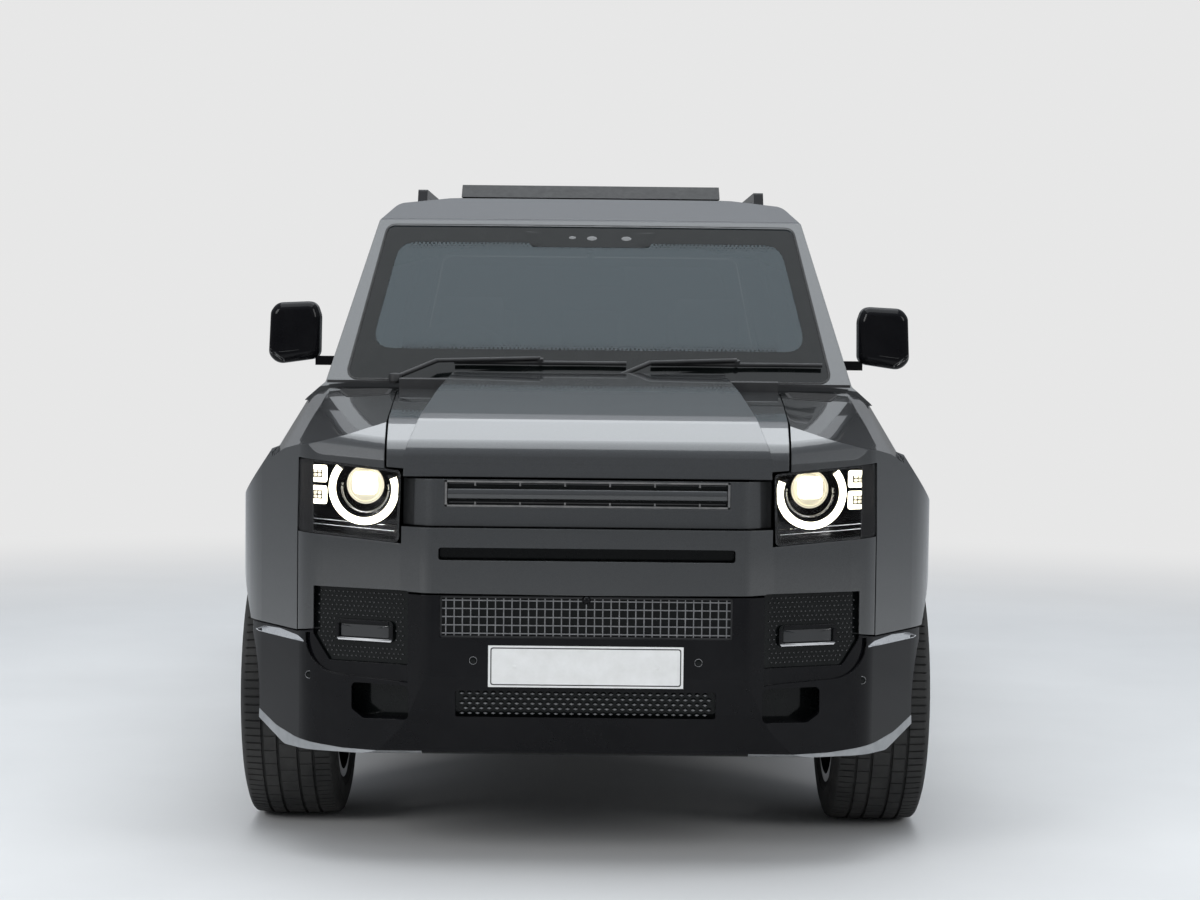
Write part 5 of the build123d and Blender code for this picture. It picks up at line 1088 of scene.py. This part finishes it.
def pad(name, centre, size, along, replaced, seams=(), crosses=()):
    """A soft pad of width, length and thickness, its length along a direction, in millimetres."""
    wide, long, thick = size
    v = Vector(along).normalized()
    u = Vector((1, 0, 0))
    w = u.cross(v)
    rings = []
    for step in range(15):
        t = -1 + 2 * step / 14
        pinch = 1 - abs(t) ** 5 * 0.30
        swell = 0.80 + 0.20 * math.sqrt(max(0.0, 1 - t * t))
        half_u = wide / 2 * (1 - abs(t) ** 8 * 0.05)
        half_w = thick / 2 * swell * pinch
        ring = []
        for k in range(36):
            a = 2 * math.pi * k / 36
            cu = math.copysign(abs(math.cos(a)) ** 0.34, math.cos(a))
            cw = math.copysign(abs(math.sin(a)) ** 0.55, math.sin(a))
            ring.append(centre + (u * cu * half_u + v * t * long / 2 + w * cw * half_w) / 1000)
        rings.append(ring)
    obj = piece(name, *loft(rings), "seat", "body", "seat", 60)
    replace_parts(obj, replaced)
    pads.append((obj, centre, u, v, w, size, seams, crosses))


def seat_base(name, edges, top, parts, replaced):
    """The plain base under a seat's cushion."""
    rings = [[P(a, b, z) for a, b in rectangle(*inset(edges, by), 30, parts)]
             for z, by in ((401, 6), (430, 0), (600, 14), (top, 30))]
    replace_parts(piece(name, *loft(rings), "trim", "body"), replaced)


for side, word in SIDES:
    x = 445 * side
    pad(f"front_seat_cushion_{word}", P(x, 2400, 722), (492, 500, 128), (0, 1, -0.057), "front_seats",
        (-0.27, 0.27), (-0.1, 0.35))
    pad(f"front_seat_back_{word}", P(x, 2712, 1070), (492, 650, 122), (0, 0.21, 0.978), "front_seats",
        (-0.27, 0.27), (-0.2, 0.15, 0.5))
    pad(f"front_headrest_{word}", P(x, 2784, 1496), (244, 172, 84), (0, 0.07, 0.99), "front_seats", (),
        (0.0,))
    for number, offset in enumerate((-58, 58)):
        post = [P(x + offset, 2770, 1380), P(x + offset, 2782, 1430)]
        tube(f"front_headrest_post_{word}_{number + 1}", post, 6, "chrome", "body", 10)
    seat_base(f"front_seat_base_{word}", (x - 212, x + 212, 2190, 2610), 652, 2, "front_seats")
    shell = []
    for lean, half in ((0.0, 226), (0.3, 232), (0.7, 226), (1.0, 200)):
        z = 700 + 690 * lean
        d = 2748 + 88 * lean
        shell.append([P(x + half * math.cos(t), d + 16 * math.sin(t), z) for t in turns(28)])
    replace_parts(piece(f"front_seat_shell_{word}", *loft(shell), "trim", "body"), "front_seats")
pad("rear_seat_cushion", P(0, 3104, 724), (1276, 480, 128), (0, 1, -0.057), "rear_seats", (-0.17, 0.17),
    (0.0,))
pad("rear_seat_back", P(0, 3412, 1050), (1276, 620, 112), (0, 0.225, 0.974), "rear_seats", (-0.17, 0.17),
    (-0.2, 0.3))
for number, x in enumerate((-430, 0, 430)):
    pad(f"rear_headrest_{number + 1}", P(x, 3488, 1466), (236, 150, 76), (0, 0.06, 0.99), "rear_seats", (),
        (0.0,))
seat_base("rear_seat_base", (-606, 606, 2896, 3282), 654, 4, "rear_seats")


def settled(obj):
    """Writes a piece's modifiers into its mesh."""
    graph = bpy.context.evaluated_depsgraph_get()
    mesh = bpy.data.meshes.new_from_object(obj.evaluated_get(graph), depsgraph=graph)
    obj.modifiers.clear()
    obj.data = mesh


VOXEL = 0.014
CAP = 0.022
for entry in pads:
    with_modifier(entry[0], "REMESH", mode="VOXEL", voxel_size=VOXEL)
    settled(entry[0])
starts = [[v.co.copy() for v in entry[0].data.vertices] for entry in pads]
for entry in pads:
    cloth = with_modifier(entry[0], "CLOTH")
    cloth.settings.use_pressure = True
    cloth.settings.uniform_pressure_force = 4.0
    cloth.settings.effector_weights.gravity = 0.0
    cloth.settings.quality = 4
for step in range(1, 21):
    bpy.context.scene.frame_set(step)
for entry, start in zip(pads, starts):
    settled(entry[0])
    for vertex, first in zip(entry[0].data.vertices, start):
        shift = vertex.co - first
        if shift.length > CAP:
            vertex.co = first + shift * (CAP / shift.length)
bpy.context.scene.frame_set(1)
for obj, centre, u, v, w, size, seams, crosses in pads:
    with_modifier(obj, "SUBSURF", levels=1, render_levels=1)
    settled(obj)
    for vertex in obj.data.vertices:
        offset = (vertex.co - centre) * 1000
        a, b, c = offset.dot(u) / size[0], offset.dot(v) / size[1], offset.dot(w)
        dent = 0.0
        for line in seams:
            if abs(b) < 0.44:
                dent += math.exp(-((a - line) * size[0] / 8) ** 2)
        for line in crosses:
            if not seams or abs(a) < max(seams):
                dent += 0.7 * math.exp(-((b - line) * size[1] / 8) ** 2)
        dent += 0.6 * math.exp(-(c / 7) ** 2)
        inward = -w * math.copysign(1.0, c) if abs(c) > 9 else -(u * a + v * b).normalized()
        vertex.co += inward * min(dent, 1.2) * 0.006
    smooth_by_angle(obj, 60)

# Steering wheel cover, dashboard faces, vents and door linings
wheel_centre = P(-445, 1950, 1310)
wheel_lean = math.radians(25)
wheel_axis = Vector((0, math.cos(wheel_lean), math.sin(wheel_lean)))
wheel_up = Vector((0, -math.sin(wheel_lean), math.cos(wheel_lean)))


def on_wheel(a, b, along):
    """A place across, up and along the steering wheel's own axes."""
    return wheel_centre + (ACROSS * a + wheel_up * b + wheel_axis * along) / 1000


cover = outline_of([(-66, -58), (66, -58), (78, 30), (50, 58), (-50, 58), (-78, 30)], 20, 3)
rows = [[on_wheel(a * share, b * share, along) for a, b in cover]
        for share, along in ((1.0, -12), (1.04, 2), (1.0, 16), (0.86, 26), (0.5, 31), (0.04, 32))]
piece("steering_wheel_cover", *loft(rows), "trim", "steering_wheel")
for side, word in SIDES:
    keys = [loft([[on_wheel(side * 104 + a * share, b + c * share, along)
                   for a, c in rectangle(-14, 14, -6, 6, 3, 1, 3)]
                  for share, along in ((1, 4), (1, 13), (0.8, 14.5))]) for b in (18, 1, -16)]
    merged(f"steering_wheel_keys_{word}", keys, "gloss_black", "steering_wheel")
screen_face = lambda x, z, lift: P(x, 1764 - (z - 1180) * 12 / 165 + lift, z)
patch("dash_display", rectangle(-142, 142, 1192, 1338, 10, 4), screen_face, 1.0, "display", "body", 1)
dial_face = lambda x, z, lift: P(x, 1748 + lift, z)
patch("dash_instruments", rectangle(-598, -292, 1208, 1288, 10, 4), dial_face, 1.0, "display", "body", 1)
dash_face = lambda x, z, lift: P(x, 1838 - (1190 - z) * 48 / 180 + lift, z)
for number, x in enumerate((-700, -230, 230, 700)):
    edge = (x - 74, x + 74, 1122, 1182)
    band(f"dash_vent_frame_{number + 1}", rectangle(*edge, 14, 3), rectangle(*inset(edge, 6), 10, 3),
         dash_face, 3.0, "gloss_black", "body")
    slats = [patch_rows(rectangle(x - 66, x + 66, z, z + 4, 2, 2, 2), dash_face, 2.2, 1)
             for z in range(1133, 1172, 9)]
    merged(f"dash_vent_slats_{number + 1}", slats, "black_plastic", "body")
patch("dash_beam", rectangle(-810, 810, 1070, 1108, 16, 12), dash_face, 10.0, "silver", "body", 2)


for side, word in SIDES:
    for door, start, stop in (("door_front", 1560, 2420), ("door_rear", 2570, 3250)):
        body = f"{door}_{word}"
        place = placer(skin_of(body), 0, -side, side * 560, side * 860)
        panel = rectangle(start, stop, 760, 1240, 40, 8)
        patch(f"{door}_lining_{word}", panel, place, 6.0, "seat", body, 3)
        rest = rectangle(start + 150, stop - 60, 880, 940, 24, 8)
        patch(f"{door}_armrest_{word}", rest, place, 44.0, "trim", body, 2)
        pocket = rectangle(start + 60, stop - 40, 560, 690, 30, 8)
        patch(f"{door}_pocket_{word}", pocket, place, 12.0, "trim", body, 2)
        pull = [place(start + 190 + k * 30, 1010, 24 if 0 < k < 5 else 4) for k in range(6)]
        tube(f"{door}_pull_{word}", pull, 8.0, "silver", body, 10)
gate_inside = front_place(skin_of("tailgate"))
patch("tailgate_lining", rectangle(-540, 540, 640, 1110, 60, 10), gate_inside, 6.0, "lining", "tailgate", 4)
pull = [gate_inside(280 + k * 34, 1060, 30 if 0 < k < 5 else 4) for k in range(6)]
tube("tailgate_pull", pull, 8.0, "silver", "tailgate", 10)
floor_place = lambda x, d, lift: P(x, d, 400 + lift)
mats = [patch_rows(rectangle(x - 230, x + 230, start, stop, 40, 4), floor_place, 8.0, 1, 0.2)
        for x in (-445, 445) for start, stop in ((1560, 2140), (2830, 2900))]
merged("floor_mats", mats, "lining", "body")

# Stage: floor, backdrop, lamps and camera
FLOOR_RADII = (4.0, 9.0, 20.0, 60.0)
FLOOR_SIDES = 64
FADE_NEAR = 3.2
FADE_FAR = 8.5
PALE = (0.80, 0.80, 0.80, 1)


def seen(tree):
    """One where the camera sees a surface straight on or through glass, zero for other rays."""
    path = tree.nodes.new("ShaderNodeLightPath")
    either = add_node(tree, "ShaderNodeMath", operation="MAXIMUM")
    link(tree, path.outputs["Is Camera Ray"], either.inputs[0])
    link(tree, path.outputs["Is Transmission Ray"], either.inputs[1])
    return either.outputs["Value"]


def blended(tree, factor, first, second, target):
    """Gives a socket a blend of two shaders."""
    blend = tree.nodes.new("ShaderNodeMixShader")
    link(tree, factor, blend.inputs["Fac"])
    link(tree, first, blend.inputs[1])
    link(tree, second, blend.inputs[2])
    link(tree, blend.outputs["Shader"], target)


def stage_floor():
    """A wide pale floor that turns into the plain surrounding further out."""
    points = [(0.0, 0.0, 0.0)]
    for ring_radius in FLOOR_RADII:
        points += [(a, b, 0.0) for a, b in circle(0, 0, ring_radius, FLOOR_SIDES)]
    following = [(k + 1) % FLOOR_SIDES for k in range(FLOOR_SIDES)]
    faces = [(0, 1 + k, 1 + after) for k, after in enumerate(following)]
    for ring in range(len(FLOOR_RADII) - 1):
        inner = 1 + ring * FLOOR_SIDES
        outer = inner + FLOOR_SIDES
        faces += [(inner + k, outer + k, outer + after, inner + after) for k, after in enumerate(following)]
    mesh = bpy.data.meshes.new("floor")
    mesh.from_pydata(points, [], faces)
    obj = added("floor", mesh)
    tree, shader, where = base_material("floor")
    coloured(tree, shader, noise(tree, where, 1.2, 8.0), 0.3, 0.7, ((0.66, 0.66, 0.655), (0.70, 0.70, 0.695)))
    settings(shader, Roughness=0.8, Specular_IOR_Level=0.1)
    length = add_node(tree, "ShaderNodeVectorMath", operation="LENGTH")
    link(tree, where, length.inputs[0])
    far = add_node(tree, "ShaderNodeMapRange", interpolation_type="SMOOTHSTEP", From_Min=FADE_NEAR,
                   From_Max=FADE_FAR)
    link(tree, length.outputs["Value"], far.inputs["Value"])
    share = add_node(tree, "ShaderNodeMath", operation="MULTIPLY")
    link(tree, far.outputs["Result"], share.inputs[0])
    link(tree, seen(tree), share.inputs[1])
    glow = add_node(tree, "ShaderNodeEmission", Color=PALE)
    blended(tree, share.outputs["Value"], shader.outputs["BSDF"], glow.outputs["Emission"],
            tree.nodes["Material Output"].inputs["Surface"])
    mesh.materials.append(M["floor"])
    obj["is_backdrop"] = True


stage_floor()


def area_light(name, place, target, size, power, colour=(1, 1, 1)):
    """A soft rectangular lamp aimed at a point."""
    data = bpy.data.lights.new(name, "AREA")
    data.shape = "RECTANGLE"
    data.size, data.size_y = size
    data.energy = power
    data.color = colour
    obj = added(name, data)
    obj.location = place
    obj.rotation_euler = (Vector(target) - Vector(place)).to_track_quat("-Z", "Y").to_euler()


area_light("top_light", (0.0, -0.5, 6.5), (0, 0, 0.8), (6.0, 9.0), 420.0, (0.93, 0.97, 1.0))
area_light("front_left_light", (-6.5, -8.0, 4.5), (0, -1.5, 0.9), (3.5, 3.0), 260.0)
area_light("front_right_light", (7.5, -6.5, 3.8), (0, -1.0, 0.9), (3.0, 3.0), 150.0)

world = bpy.data.worlds.new("world")
bpy.context.scene.world = world
world.use_nodes = True
tree = world.node_tree
background = tree.nodes["Background"]
where = tree.nodes.new("ShaderNodeTexCoord")
split = tree.nodes.new("ShaderNodeSeparateXYZ")
link(tree, where.outputs["Generated"], split.inputs["Vector"])
coloured(tree, background, split.outputs["Z"], 0.0, 0.6, ((0.22, 0.225, 0.23), (0.66, 0.70, 0.76)), "Color")
background.inputs["Strength"].default_value = 0.8
pale = add_node(tree, "ShaderNodeBackground", Color=PALE)
blended(tree, seen(tree), background.outputs["Background"], pale.outputs["Background"],
        tree.nodes["World Output"].inputs["Surface"])

CAMERA_FOCAL = 2381.0
CAMERA_AHEAD = 6300.0
CAMERA_HEIGHT = 1460.0
CAMERA_ROLL = 0.6
HORIZON_UP = 120.0
CENTRE_SHIFT = 12.0
PICTURE_WIDTH = 1200
SENSOR_WIDTH = 36.0
camera_data = bpy.data.cameras.new("camera")
camera_data.sensor_width = SENSOR_WIDTH
camera_data.lens = SENSOR_WIDTH * CAMERA_FOCAL / PICTURE_WIDTH
camera_data.shift_x = CENTRE_SHIFT / PICTURE_WIDTH
camera_data.clip_end = 200.0
camera = added("camera", camera_data)
pitch = math.atan(HORIZON_UP / CAMERA_FOCAL)
camera.matrix_world = (Matrix.Translation(P(0, -CAMERA_AHEAD, CAMERA_HEIGHT))
                       @ Matrix.Rotation(math.pi / 2 - pitch, 4, "X")
                       @ Matrix.Rotation(math.radians(CAMERA_ROLL), 4, "Z"))
bpy.context.scene.camera = camera
bpy.context.scene.view_settings.view_transform = "Standard"

{"cad": CAD_BOX, "visual": corners(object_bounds())}
